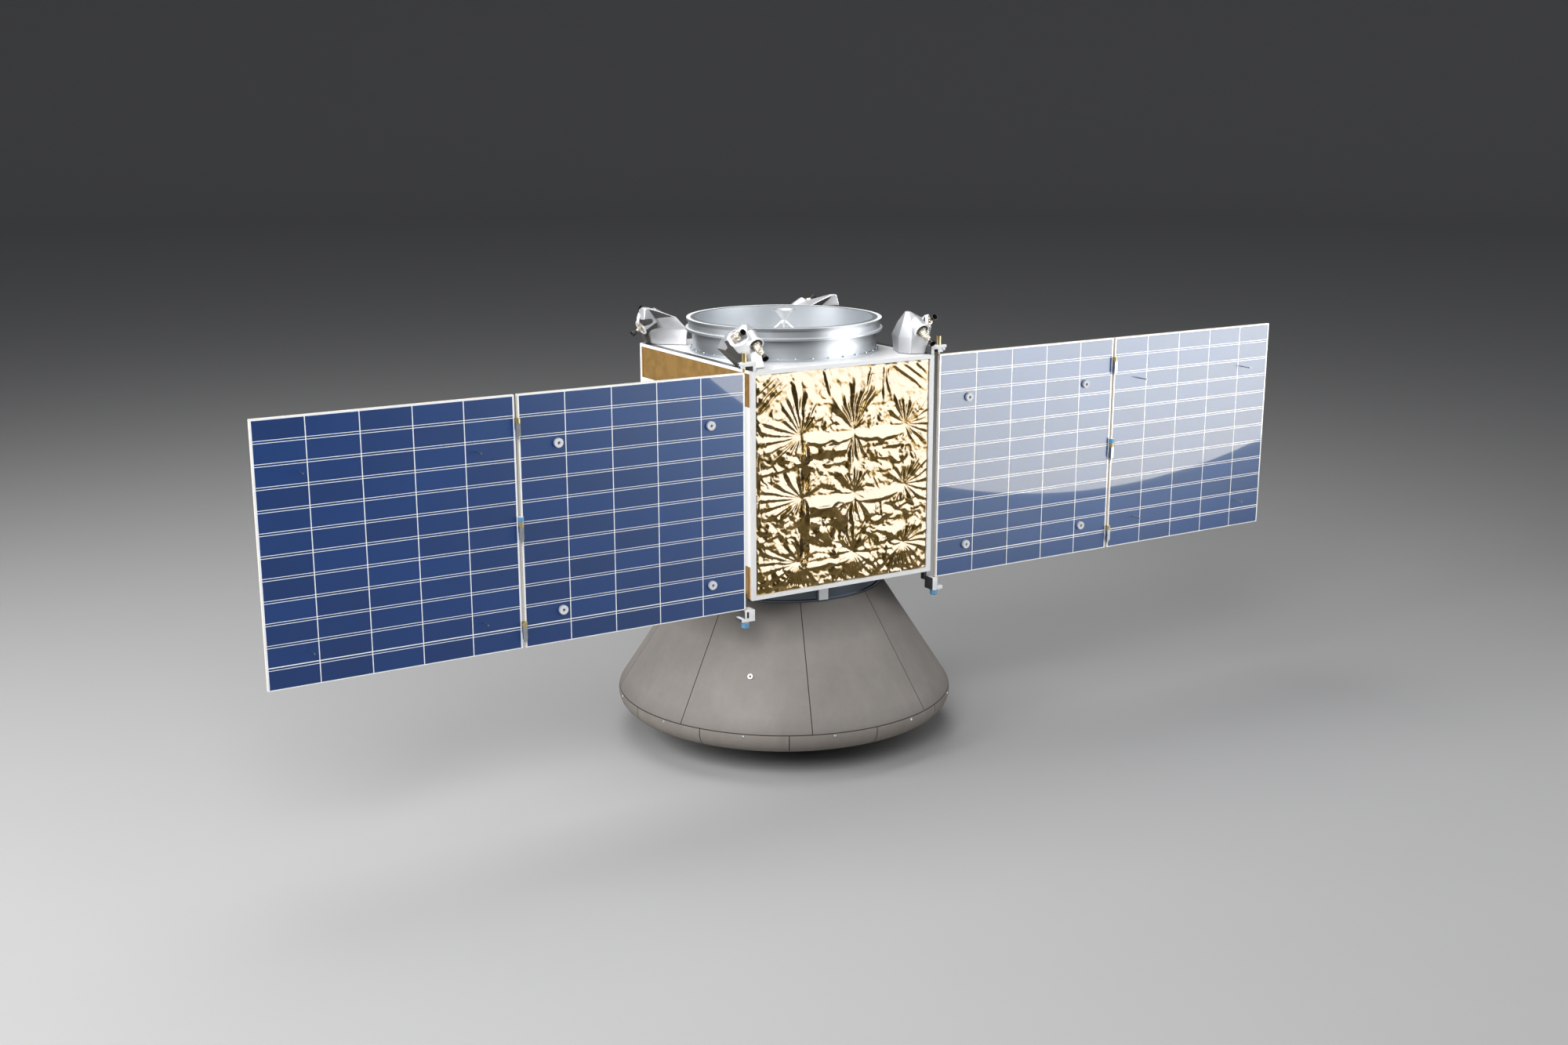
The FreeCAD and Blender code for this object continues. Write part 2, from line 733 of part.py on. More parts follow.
def wing(side, sign):
    root_x = sign * root_reach
    high, thick, wide = panel_high, size("panel_thickness"), size("panel_width")
    middle_z = panel_low + high / 2
    cup_x = (sign * (root_reach + size("cup_inner")), sign * (middle_x - size("cup_outer")))
    cup_z = (panel_low + size("cup_low"), panel_low + size("cup_low") + size("cup_rise"))
    spots = [(x, z) for x in cup_x for z in cup_z]
    bores = [cylinder("%s_bore_%d" % (side, index), (x, back_y + thick, z), size("cup_bore"),
                      thick * 4, TO_FRONT) for index, (x, z) in enumerate(spots)]
    inner_x = sign * (root_edge + wide / 2)
    plate = block(side + "_inner_plate", (inner_x, middle_y, middle_z), (wide, thick, high))
    name_it(cut(side + "_inner_cut", plate, bores), side + "_inner_panel")
    cups = []
    for index, (x, z) in enumerate(spots):
        cup = cylinder("%s_cup_%d" % (side, index), (x, face_y, z), size("cup_radius"),
                       size("cup_height"), TO_FRONT)
        bore = cylinder("%s_cup_bore_%d" % (side, index), (x, face_y + BEYOND, z), size("cup_bore"),
                        size("cup_height") + BEYOND * 2, TO_FRONT)
        cups.append(cut("%s_cup_cut_%d" % (side, index), cup, [bore]))
    name_it(together(side + "_cup_set", cups), side + "_cups")
    outer_x = sign * (inner_end + size("middle_gap") + wide / 2)
    name_it(block(side + "_outer_plate", (outer_x, middle_y, middle_z), (wide, thick, high)),
            side + "_outer_panel")
    rods = []
    for index, x in enumerate(folded_cups):
        rod_x = sign * (middle_x * 2 - x - rod_arc / 2)
        for row, z in enumerate(cup_z):
            rods.append(cylinder("%s_rod_%d%d" % (side, index, row), (rod_x, face_y, z),
                                 size("rod_radius"), size("rod_length"), TO_FRONT))
    name_it(together(side + "_rod_set", rods), side + "_rods")
    middle_hinges(side, sign)
    root_hinges(side, sign, root_x)


def middle_hinges(side, sign):
    axis_x = sign * middle_x
    radius, tall = size("knuckle_radius"), size("knuckle_height")
    running = size("pin_clearance")
    leaf_y0, leaf_y1 = face_y, fold_y + running
    leaf_thick = leaf_y0 - leaf_y1
    reach = size("leaf_reach")
    inner_leaves, outer_leaves, pins = [], [], []
    for name, lift, button in HINGES:
        foot = panel_low + lift
        split = tall / 2
        for owner, way, low in (("inner", -1, foot), ("outer", 1, foot + split + running)):
            tag = "%s_%s_%s" % (side, owner, name)
            length = split - running
            barrel = cylinder(tag + "_barrel", (axis_x, fold_y, low), radius, length)
            near = radius + running * 2
            leaf = block(tag + "_leaf",
                         (axis_x + sign * way * (near + reach) / 2, leaf_y0 - leaf_thick / 2, foot + tall / 2),
                         (reach - near, leaf_thick, tall))
            web = block(tag + "_web", (axis_x + sign * way * near / 2, leaf_y0 - leaf_thick / 2, low + length / 2),
                        (near, leaf_thick, length))
            bore = cylinder(tag + "_bore", (axis_x, fold_y, foot - tall), size("hinge_pin") + size("pin_fit"),
                            tall * 3)
            side_of_gap = inner_leaves if owner == "inner" else outer_leaves
            keep = block(tag + "_keep", (axis_x, leaf_y0 + leaf_thick / 2, low + length / 2),
                         (near * 4, leaf_thick, tall * 2))
            side_of_gap.append(cut(tag + "_cut", join(tag, [barrel, leaf, web]), [bore, keep]))
        shaft = cylinder("%s_shaft_%s" % (side, name), (axis_x, fold_y, foot), size("hinge_pin"),
                         tall + running)
        head = cylinder("%s_head_%s" % (side, name), (axis_x, fold_y, foot + tall + running),
                        size("cap_radius"), size("cap_height"))
        pins.append(join("%s_pin_%s" % (side, name), [shaft, head]))
        if button:
            cap = cylinder("%s_button_cap" % side, (axis_x, fold_y, foot + tall + running + size("cap_height")),
                           size("cap_radius"), size("button_height"))
            name_it(cap, side + "_hinge_button")
    name_it(together(side + "_inner_leaf_set", inner_leaves), side + "_inner_leaves")
    name_it(together(side + "_outer_leaf_set", outer_leaves), side + "_outer_leaves")
    name_it(together(side + "_pin_set", pins), side + "_middle_pins")


def span_block(name, across, along, up):
    """A box given by its two ends along X, Y and Z."""
    ends = [[size_of(value) for value in pair] for pair in (across, along, up)]
    return block(name, [(low + high) / 2 for low, high in ends], [high - low for low, high in ends])


def root_hinges(side, sign, root_x):
    plate, deep = size("root_plate"), size("root_plate_depth")
    post, pin, running = size("root_post"), size("pin_radius"), size("pin_clearance")
    front, back = middle_y - deep / 2, middle_y + deep / 2
    shelf = deck_top + size("root_lift")
    hanger_top = panel_low - size("root_drop")
    hanger_low = hanger_top - size("hanger_height")

    def out(name, distances, along, up):
        """A box whose X ends are measured outward from the pin."""
        ends = [root_x + sign * distance for distance in distances]
        return span_block("%s_%s" % (side, name), ends if sign > 0 else ends[::-1], along, up)

    stand, leg = size("root_stand"), size("bracket_leg")
    inboard = -stand - size("frame_upright")
    arm = out("arm", (inboard, ZERO), (front, back), (shelf, shelf + plate))
    nose = cylinder(side + "_nose", (root_x, middle_y, shelf), deep / 2, plate)
    foot = out("foot", (inboard, inboard + leg), (front, back), (deck_top, shelf))
    tab = out("tab", (ZERO, size("tab_reach")), (front, front + size("tab_depth")),
              (shelf + plate - size("tab_thickness"), shelf + plate))
    bore = cylinder(side + "_top_bore", (root_x, middle_y, shelf - plate), pin + size("pin_fit"), plate * 3)
    top = cut(side + "_top_bracket", join(side + "_top_sum", [arm, nose, foot, tab]), [bore])

    cheek, wide = size("hanger_cheek"), size("hanger_width")
    tail = back + size("hanger_tail")
    pieces = [out("cheek", (-cheek, wide - cheek), (front, tail), (hanger_low, hanger_top)),
              out("strut", (-stand - leg * 2, ZERO), (tail - leg, tail), (hanger_top - leg, hanger_top)),
              out("hook", (-stand - leg * 2, -stand), (tail - leg, tail), (hanger_top - leg, floor_low))]
    cuts = [cylinder(side + "_low_bore", (root_x, middle_y, hanger_low - plate), pin + size("pin_fit"),
                     size("hanger_height") + plate * 2)]
    if sign > 0:
        pieces.append(out("lug", (ZERO, wide - cheek + size("lug_reach")), (front, front + size("lug_depth")),
                          (hanger_low, hanger_low + size("lug_depth"))))
    else:
        pieces.append(out("face", (inboard, ZERO), (front, front + size("face_depth")),
                          (hanger_low, hanger_top)))
        slot = size("slot_width")
        cuts.append(out("slot", (-cheek - slot, -cheek), (front - slot, front + size("face_depth")),
                        (hanger_low + slot * 2, hanger_top - slot)))
    low = cut(side + "_low_bracket", join(side + "_low_sum", pieces), cuts)
    name_it(together(side + "_bracket_set", [top, low]), side + "_root_brackets")

    cap_foot = shelf + plate + running
    top_shaft = cylinder(side + "_top_shaft", (root_x, middle_y, panel_top), pin, cap_foot - panel_top)
    top_post = cylinder(side + "_top_post", (root_x, middle_y, panel_top), post, shelf - running - panel_top)
    top_cap = cylinder(side + "_top_cap", (root_x, middle_y, cap_foot), size("root_cap"),
                       size("root_cap_height"))
    low_foot = hanger_low - running
    low_shaft = cylinder(side + "_low_shaft", (root_x, middle_y, low_foot), pin, panel_low - low_foot)
    low_post = cylinder(side + "_low_post", (root_x, middle_y, hanger_top + running), post,
                        panel_low - hanger_top - running)
    pins = [join(side + "_top_pin", [top_shaft, top_post, top_cap]),
            join(side + "_low_pin", [low_shaft, low_post])]
    name_it(together(side + "_pin_pair", pins), side + "_root_pins")
    name_it(cylinder(side + "_blue", (root_x, middle_y, low_foot - size("blue_cap_height")),
                     size("blue_cap"), size("blue_cap_height")), side + "_root_button")


# ---------------------------------------------------------------- the whole

heat_shield()
shoulder_tiles()
capsule_inside(cone_panels())
separation_ring()
bus_shell()
launch_ring()
main_thruster()
thruster_pods()
for wing_side, wing_sign in (("left", -1), ("right", 1)):
    wing(wing_side, wing_sign)
document.recompute()

for item in document.Objects:
    if "Invalid" in item.State or "Error" in item.State:
        raise RuntimeError("%s: %s" % (item.Label, item.State))
os.makedirs("parts", exist_ok=True)
for item in NODES:
    shape = item.Shape
    if shape.isNull() or not shape.isValid():
        raise RuntimeError("%s has no valid shape" % item.Label)
for item in NODES:
    item.Shape.exportStep("parts/%s.step" % item.Label)
    print("%-26s %2d solids %12.1f mm3" % (item.Label, len(item.Shape.Solids), item.Shape.Volume))
print("%d nodes, rim plane at %.2f" % (len(NODES), rim.number))
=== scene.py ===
import math
import bmesh
import bpy
import numpy as np
from mathutils import Matrix, Vector


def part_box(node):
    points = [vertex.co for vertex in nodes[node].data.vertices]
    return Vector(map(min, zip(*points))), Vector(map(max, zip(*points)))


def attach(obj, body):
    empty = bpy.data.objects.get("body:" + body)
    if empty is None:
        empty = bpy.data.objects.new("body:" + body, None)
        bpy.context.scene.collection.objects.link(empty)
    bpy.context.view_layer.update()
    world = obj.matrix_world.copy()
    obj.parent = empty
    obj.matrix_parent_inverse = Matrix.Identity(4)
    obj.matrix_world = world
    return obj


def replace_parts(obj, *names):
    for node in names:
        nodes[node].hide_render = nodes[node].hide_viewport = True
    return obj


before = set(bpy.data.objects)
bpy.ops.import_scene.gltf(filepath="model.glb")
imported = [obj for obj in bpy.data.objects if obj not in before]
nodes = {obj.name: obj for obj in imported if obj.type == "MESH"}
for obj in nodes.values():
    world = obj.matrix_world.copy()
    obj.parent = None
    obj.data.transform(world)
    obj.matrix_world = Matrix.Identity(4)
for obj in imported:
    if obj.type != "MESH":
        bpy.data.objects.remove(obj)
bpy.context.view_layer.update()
sides = (("left", -1), ("right", 1))
wings = [(side, sign, part) for side, sign in sides for part in ("inner", "outer")]
podPlaces = [(end, side, sign) for end in ("front", "back") for side, sign in sides]
print("frame loaded:", len(nodes), "nodes")

# camera, floor, light

shot = {"place": (-2.4432, -3.9568, 1.6985), "aim": (0.0, 0.0, 0.5655), "lens": 41.0, "sensor": 36.0}
studio = {
    "floor": (0.37, 0.37, 0.37), "bowl": (20.0, 9.0, 16.0), "world": 0.14, "sky": (0.93, 0.96, 1.0, 1.0),
    # one round window, three times: a weak lamp, a taller sheen seen only in polished faces, and one more
    # for the cells and panels alone
    "discAim": (0.247, 0.0, 2.071), "discWide": 3.984, "discPlace": (2.074, -2.176, 2.071), "discPower": 30.0,
    "sheenPlace": (2.100, -2.207, 2.071), "sheenTall": 5.9, "sheenPower": 200.0,
    "sheenAhead": (-0.643, 0.766, 0.0), "sheenAcross": (0.766, 0.643, 0.0),
    "cellPlace": (2.113, -2.222, 2.071), "cellPower": 545.0, "cellColor": (1.0, 0.94, 0.78),
    "topPlace": (-0.2, 0.9, 4.4), "topAim": (0, 0, 0.8), "topWide": 3.0, "topPower": 96.0,
    "sidePlace": (-4.4, 0.2, 2.7), "sideAim": (0, 0, 0.7), "sideWide": 3.0, "sidePower": 215.0,
    "frontPlace": (-2.9, -3.5, 3.8), "frontAim": (0, 0, 0.7), "frontWide": 2.8, "frontPower": 192.0,
}


def aimAt(item, target):
    item.rotation_mode = "QUATERNION"
    item.rotation_quaternion = (Vector(target) - item.location).to_track_quat("-Z", "Y")


def softLight(name, place, target, wide, power, shape="SQUARE"):
    light = bpy.data.lights.new(name, "AREA")
    light.shape, light.size, light.energy = shape, wide, power
    lamp = bpy.data.objects.new(name, light)
    bpy.context.scene.collection.objects.link(lamp)
    lamp.location = place
    aimAt(lamp, target)
    lamp.visible_camera = False
    return lamp


scene = bpy.context.scene
camera = bpy.data.objects.new("camera", bpy.data.cameras.new("camera"))
scene.collection.objects.link(camera)
camera.location = shot["place"]
camera.data.lens, camera.data.sensor_width = shot["lens"], shot["sensor"]
aimAt(camera, shot["aim"])
scene.camera = camera
scene.view_settings.view_transform = "Standard"



def raisedBy(place, more):
    return place[0], place[1], place[2] + more


raised = (studio["sheenTall"] - studio["discWide"]) / 2
sheenPlace = raisedBy(studio["sheenPlace"], raised)
softLight("discLight", studio["discPlace"], studio["discAim"], studio["discWide"], studio["discPower"],
          "DISK")
sheen = softLight("discSheen", sheenPlace, raisedBy(studio["discAim"], raised), studio["discWide"],
                  studio["sheenPower"], "ELLIPSE")
sheen.data.size_y = studio["sheenTall"]
sheen.visible_diffuse = False
cellSheen = softLight("cellSheen", studio["cellPlace"], studio["discAim"], studio["discWide"],
                      studio["cellPower"], "DISK")
cellSheen.visible_diffuse = False
cellSheen.data.color = studio["cellColor"]
cellGlass, others = bpy.data.collections.new("cellGlass"), bpy.data.collections.new("others")
others.children.link(cellGlass)
others.collection_children[0].light_linking.link_state = "EXCLUDE"
cellSheen.light_linking.receiver_collection = cellGlass
sheen.light_linking.receiver_collection = others
for lamp in ("top", "side", "front"):
    softLight(lamp + "Light", studio[lamp + "Place"], studio[lamp + "Aim"], studio[lamp + "Wide"],
              studio[lamp + "Power"])

# sockets written as sums, and finishes built from them


class Wire:
    def __init__(self, finish, socket):
        self.finish, self.socket = finish, socket

    def sum(self, operation, *values):
        return self.finish.node("ShaderNodeMath", {"operation": operation}, dict(enumerate(values)))

    def __add__(self, other):
        return self.sum("ADD", self, other)

    def __radd__(self, other):
        return self.sum("ADD", other, self)

    def __sub__(self, other):
        return self.sum("SUBTRACT", self, other)

    def __rsub__(self, other):
        return self.sum("SUBTRACT", other, self)

    def __mul__(self, other):
        return self.sum("MULTIPLY", self, other)

    def __rmul__(self, other):
        return self.sum("MULTIPLY", other, self)

    def __gt__(self, other):
        return self.sum("GREATER_THAN", self, other)

    def __lt__(self, other):
        return self.sum("LESS_THAN", self, other)

    def wave(self):
        return self.sum("SINE", self)

    def size(self):
        return self.sum("ABSOLUTE", self)

    def kept(self, low, high):             # clamped and stretched to 0..1
        return self.finish.node("ShaderNodeMapRange", {"clamp": True}, {0: self, 1: low, 2: high})


class Finish:
    def __init__(self, name, **shader):
        self.material = bpy.data.materials.new(name)
        self.material.use_nodes = True
        self.tree = self.material.node_tree
        self.tree.nodes.clear()
        self.shader = self.tree.nodes.new("ShaderNodeBsdfPrincipled")
        output = self.tree.nodes.new("ShaderNodeOutputMaterial")
        self.tree.links.new(self.shader.outputs[0], output.inputs[0])
        self.spot = self.node("ShaderNodeTexCoord", out="Object")
        self.set(shader)

    def node(self, kind, settings=None, sockets=None, out=0):
        made = self.tree.nodes.new(kind)
        for key, value in (settings or {}).items():
            if key == "stops":
                ramp = made.color_ramp
                while len(ramp.elements) < len(value):
                    ramp.elements.new(1.0)
                for element, (place, color) in zip(ramp.elements, value):
                    element.position, element.color = place, (*color, 1.0)
            else:
                setattr(made, key, value)
        for key, value in (sockets or {}).items():
            self.feed(made.inputs[key], value)
        return Wire(self, made.outputs[out])

    def feed(self, target, value):
        if isinstance(value, Wire):
            self.tree.links.new(value.socket, target)
        elif target.type == "RGBA":
            target.default_value = (*value, 1.0)[:4]
        else:
            target.default_value = value

    def set(self, values):
        for key, value in values.items():
            self.feed(self.shader.inputs[key.replace("_", " ")], value)

    def mix(self, factor, first, second):
        return self.node("ShaderNodeMix", {"data_type": "RGBA"}, {0: factor, 6: first, 7: second}, out=2)

    def noise(self, scale, detail, spot=None, warp=0.0):
        return self.node("ShaderNodeTexNoise", {}, {"Vector": spot or self.spot, "Scale": scale,
                                                    "Detail": detail, "Roughness": 0.55, "Distortion": warp})

    def stretched(self, scales):
        return self.node("ShaderNodeMapping", {}, {"Vector": self.spot, "Scale": scales})

    def parts(self, vector):
        split = self.node("ShaderNodeSeparateXYZ", {}, {0: vector})
        return [Wire(self, split.socket.node.outputs[index]) for index in range(3)]

    def axes(self):
        return self.parts(self.spot)

    def normal(self):
        return self.parts(self.node("ShaderNodeNewGeometry", out="Normal"))

    def written(self, name):               # a value that the mesh carries
        return self.node("ShaderNodeAttribute", {"attribute_name": name}, out="Fac")

    def blend(self, cloud, first, second):         # over the middle of a noise
        return self.mix(cloud.kept(0.3, 0.7), first, second)

    def bump(self, height, strength, distance, under=None):
        sockets = {"Height": height, "Strength": strength, "Distance": distance}
        if under:
            sockets["Normal"] = under
        self.set({"Normal": self.node("ShaderNodeBump", {}, sockets)})


def shade(color, amount):
    return tuple(channel * amount for channel in color)


def mottled(name, color, rough, metal=0.0, spread=0.10, lift=0.12):
    finish = Finish(name, Metallic=metal)
    cloud = finish.noise(9.0, 4.0)
    finish.set({"Base_Color": finish.blend(cloud, shade(color, 1 - spread), shade(color, 1 + spread * 0.6)),
                "Roughness": finish.noise(27.0, 4.0) * 0.16 + (rough - 0.08)})
    finish.bump(finish.noise(420.0, 2.0), lift, 0.0004)
    return finish


paints = {
    "tile": (0.226, 0.208, 0.192), "shieldTile": (0.212, 0.190, 0.170), "white": (0.87, 0.875, 0.88),
    "bare": (0.60, 0.61, 0.63), "ring": (0.50, 0.53, 0.56), "foilSilver": (0.60, 0.61, 0.63),
    "gold": (0.27, 0.212, 0.132), "goldShadeAndMottle": (0.19, 0.123, 0.035), "goldCrease": (0.42, 0.29, 0.13),
    "goldPaintedHighlight": (0.30, 0.266, 0.220), "amber": (0.44, 0.258, 0.080), "amberFoldHighlight": (0.80, 0.46, 0.22),
    "cell": (0.0004, 0.025, 0.138), "grid": (0.90, 0.93, 0.97), "edge": (0.80, 0.73, 0.64),
    "brass": (0.62, 0.50, 0.25), "blue": (0.14, 0.36, 0.60), "black": (0.012, 0.012, 0.014),
}

# dark joint lines, and the levels of the painted shade: towards the foot, and the painted shadow under the
# bus
tiles = {"halfLine": 0.0012, "rimLine": 0.1266, "footShadeFade": 0.05, "busShadowLevel": 0.320, "busShadowFade": 0.08,
         "lineColor": (0.012, 0.011, 0.010)}


def tileFinish(name, color, shadeBelow, joints, first):
    # joints are the dark lines between tiles: how many planes through the axis, and the first one's turn
    finish = Finish(name, IOR=1.35)
    x, y, z = finish.axes()
    cloud = finish.noise(5.0, 5.0)
    fine = finish.noise(60.0, 4.0)
    streak = finish.noise(1.0, 4.0, finish.stretched((26.0, 26.0, 2.2)))
    tone = cloud * 0.5 + fine * 0.22 + streak * 0.28
    body = finish.mix(tone.kept(0.34, 0.66), shade(color, 0.86), shade(color, 1.12))
    # painted shade towards the foot, and painted shadow of the bus on the tiles near the top
    low = (z * -1.0 + shadeBelow).kept(0.0, tiles["footShadeFade"])
    high = (z - tiles["busShadowLevel"]).kept(0.0, tiles["busShadowFade"])
    line = ((z - tiles["rimLine"]).size() < tiles["halfLine"])
    for index in range(joints):
        turn = math.radians(first + index * 180.0 / joints)
        line = line + ((x * math.sin(turn) - y * math.cos(turn)).size() < tiles["halfLine"])
    body = finish.mix(low * 0.45 + high * 0.85, body, shade(color, 0.42))
    finish.set({"Base_Color": finish.mix(line.kept(0.0, 1.0) * 0.85, body, tiles["lineColor"]),
                "Roughness": fine * 0.2 + 0.62})
    finish.bump(finish.noise(260.0, 3.0) * 0.7 + streak * 0.5, 0.25, 0.0005)
    return finish


def brushedFinish(name, color, rough, along, metal=1.0):
    finish = Finish(name, Metallic=metal)
    lines = finish.noise(1.0, 3.0, finish.stretched(along))
    cloud = finish.noise(7.0, 4.0)
    finish.set({"Base_Color": finish.blend(cloud, shade(color, 0.92), color),
                "Roughness": lines * 0.14 + cloud * 0.08 + (rough - 0.11)})
    finish.bump(lines, 0.12, 0.0004)
    return finish


# radii squared of the ring's wall and lips, its lips' levels, and the painted shade bands under them: foot
# and height
ringBands = {"wall": 0.0571, "lip": 0.0595, "top": 1.085, "middle": 1.0885, "under": (1.1070, 0.0065),
             "between": (1.0640, 0.0242), "lipColor": (0.93, 0.94, 0.95)}


def ringFinish(name, color, rough, metal):
    # brushed round its axis, with the flat faces of its lips left bright
    finish = Finish(name)
    x, y, z = finish.axes()
    lines = finish.noise(1.0, 3.0, finish.stretched((3.0, 3.0, 900.0)))
    cloud = finish.noise(7.0, 4.0)
    up, square = finish.normal()[2], x * x + y * y
    flat = (up > 0.7) * (z > ringBands["top"]) * (square > ringBands["lip"])
    # painted shade in bands under the lips, broken into patches, on the wall only
    patch = finish.noise(2.4, 2.0).kept(0.42, 0.58) * 0.5 + 0.5
    under, between = [(z - foot).kept(0.0, tall) for foot, tall in (ringBands["under"], ringBands["between"])]
    below = under + between * (z < ringBands["middle"])
    shadow = below * patch * (square > ringBands["wall"]) * (up < 0.5)
    body = finish.blend(cloud, shade(color, 0.92), color)
    body = finish.mix(shadow * 0.85, body, shade(color, 0.16))
    finish.set({"Base_Color": finish.mix(flat, body, ringBands["lipColor"]), "Metallic": (1.0 - flat) * metal,
                "Roughness": lines * 0.14 + cloud * 0.08 + (rough - 0.11)})
    finish.bump(lines, 0.12, 0.0004)
    return finish


filmEdges = {"crease": 0.2752, "fold": 0.2790, "wander": 0.004}       # distances from the vehicle's middle


def filmFinish(name, color, rough, lift):
    finish = Finish(name, Metallic=0.5)
    crease = finish.node("ShaderNodeTexVoronoi", {"feature": "DISTANCE_TO_EDGE"},
                         {"Vector": finish.spot, "Scale": 90.0})
    ripple = finish.noise(70.0, 5.0, warp=0.6)
    cloud = finish.noise(20.0, 6.0, warp=1.2)
    edge = finish.axes()[1].size() + (finish.noise(40.0, 3.0) - 0.5) * filmEdges["wander"]
    film = finish.mix(cloud.kept(0.32, 0.62), shade(color, 0.76), shade(color, 1.06))
    # painted shade in a crease near the corner, and a painted highlight on the band where the film folds
    # round it
    film = finish.mix((edge > filmEdges["crease"]) * 0.8, film, shade(color, 0.25))
    finish.set({"Base_Color": finish.mix((edge > filmEdges["fold"]), film, paints["amberFoldHighlight"]),
                "Roughness": cloud * 0.10 + (rough - 0.05)})
    finish.bump(ripple * 0.8 + crease.kept(0.0, 0.25) * 0.25, lift, 0.002)
    return finish


def goldFinish():
    # the film's colour is painted light: paler where it looks up (painted highlight), deeper in its pockets
    # (painted shade); and it leans as its folds leave it
    finish = Finish("goldFilm", Metallic=0.88)
    tone = finish.written("tone")
    cloud = finish.noise(9.0, 4.0)
    stops = ((0.08, paints["goldShadeAndMottle"]), (0.42, paints["gold"]), (0.80, paints["goldPaintedHighlight"]))
    tint = finish.node("ShaderNodeValToRGB", {"stops": stops}, {0: tone})
    # paler noise spots for fine crinkles, inside the painted shade of the folds
    crease = finish.noise(34.0, 4.0, warp=0.8).kept(0.50, 0.66) * (1.0 - tone.kept(0.0, 0.4)) * 0.55
    tint = finish.mix(crease, tint, paints["goldCrease"])             # fine crinkles inside the dark folds
    finish.set({"Base_Color": finish.mix(cloud.kept(0.3, 0.7) * 0.12, tint, paints["goldShadeAndMottle"]),
                "Roughness": cloud * 0.08 + 0.15})
    slack = finish.node("ShaderNodeBump", {}, {"Height": finish.written("lean"), "Strength": 1.0,
                                               "Distance": 1.0})
    finish.bump(finish.noise(85.0, 4.0, warp=0.5), 0.10, 0.002, slack)
    return finish


glass = {"Coat_Roughness": 0.02, "Coat_IOR": 1.30}         # over the cells and the panels' fronts
fingers = {"pitch": 0.0016, "color": (0.06, 0.16, 0.36)}


def cellFinish():
    finish = Finish("solarCell", IOR=1.40, Specular_Tint=(0.62, 0.80, 1.0), **glass)
    color = paints["cell"]
    z = finish.axes()[2]
    pale = (color[0] * 1.5, color[1] * 1.25, color[2] * 1.15)
    base = finish.mix(finish.written("tone").kept(0.0, 1.0), shade(color, 0.82), pale)
    base = finish.mix(finish.noise(4.0, 3.0).kept(0.3, 0.7) * 0.3, base, shade(color, 1.3))
    lines = ((z * (2 * math.pi / fingers["pitch"])).wave() > 0.93) * 0.10
    finish.set({"Base_Color": finish.mix(lines, base, fingers["color"]),
                "Roughness": finish.noise(30.0, 3.0) * 0.06 + 0.38, "Coat_Weight": 1.0})
    finish.bump(finish.noise(9.0, 2.0), 0.02, 0.001)
    return finish


skins = {"middle": 0.2859, "half": 0.0042, "front": 0.2902, "weave": 2600.0}      # depths of a panel's skins


def panelFinish():
    # pale face, cream edge and a dark woven back, told apart by their depth
    finish = Finish("panelSkin", IOR=1.5, **glass)
    x, y, z = finish.axes()
    weave = ((x * skins["weave"]).wave() * (z * skins["weave"]).wave()) * 0.5 + 0.5
    skin = finish.mix(weave, (0.055, 0.057, 0.062), (0.085, 0.088, 0.095))
    depth = y * -1.0
    middle = ((depth - skins["middle"]).size() < skins["half"])
    edge = finish.blend(finish.noise(160.0, 3.0), shade(paints["edge"], 0.8), paints["edge"])
    front = (depth > skins["front"])
    pale = finish.mix(finish.noise(40.0, 3.0), paints["grid"], shade(paints["grid"], 0.9))
    finish.set({"Base_Color": finish.mix(front, finish.mix(middle, skin, edge), pale),
                "Roughness": finish.noise(50.0, 3.0) * 0.15 + 0.35, "Coat_Weight": front * 1.0})
    finish.bump(weave * 0.4 + finish.noise(300.0, 2.0), 0.10, 0.0004)
    return finish


def bracketFinish():
    # white outside, with painted shade on the sides that look across: dark and half metallic there
    finish = Finish("bracketAlloy")
    cut = finish.normal()[0].size() > 0.7
    cloud = finish.noise(30.0, 4.0)
    skin = finish.blend(cloud, (0.80, 0.81, 0.83), (0.87, 0.875, 0.88))
    bare = finish.blend(cloud, (0.060, 0.064, 0.068), (0.11, 0.115, 0.12))
    finish.set({"Base_Color": finish.mix(cut, skin, bare), "Roughness": cloud * 0.14 + 0.30,
                "Metallic": cut * 0.5})
    finish.bump(finish.noise(300.0, 2.0), 0.08, 0.0003)
    return finish


def cupFinish():
    # white face, with painted shade greyer round the side, by the way the faces look while the wings are out
    finish = Finish("cupCoating")
    flat = finish.normal()[1].size().kept(0.45, 0.70)
    cloud = finish.noise(9.0, 4.0)
    side = finish.blend(cloud, (0.40, 0.42, 0.46), (0.48, 0.50, 0.54))
    finish.set({"Base_Color": finish.mix(flat, side, (0.72, 0.74, 0.78)), "Metallic": (1.0 - flat) * 0.2,
                "Roughness": cloud * 0.14 + 0.30})
    finish.bump(finish.noise(300.0, 2.0), 0.10, 0.0003)
    return finish


def capFinish():
    # pale blue anodising, with a painted highlight: nearly white on top and paler to one side, by the way its
    # faces look
    finish = Finish("blueCap", Metallic=0.45)
    normal, grain = finish.normal(), finish.noise(24.0, 3.0)
    body = finish.blend(grain, shade(paints["blue"], 0.90), shade(paints["blue"], 1.08))
    body = finish.mix(normal[0].kept(0.10, 0.85) * 0.7, body, (0.44, 0.66, 0.84))
    finish.set({"Base_Color": finish.mix(normal[2].kept(0.80, 0.95), body, (0.84, 0.89, 0.93)),
                "Roughness": grain * 0.12 + 0.26})
    finish.bump(finish.noise(240.0, 2.0), 0.06, 0.0003)
    return finish


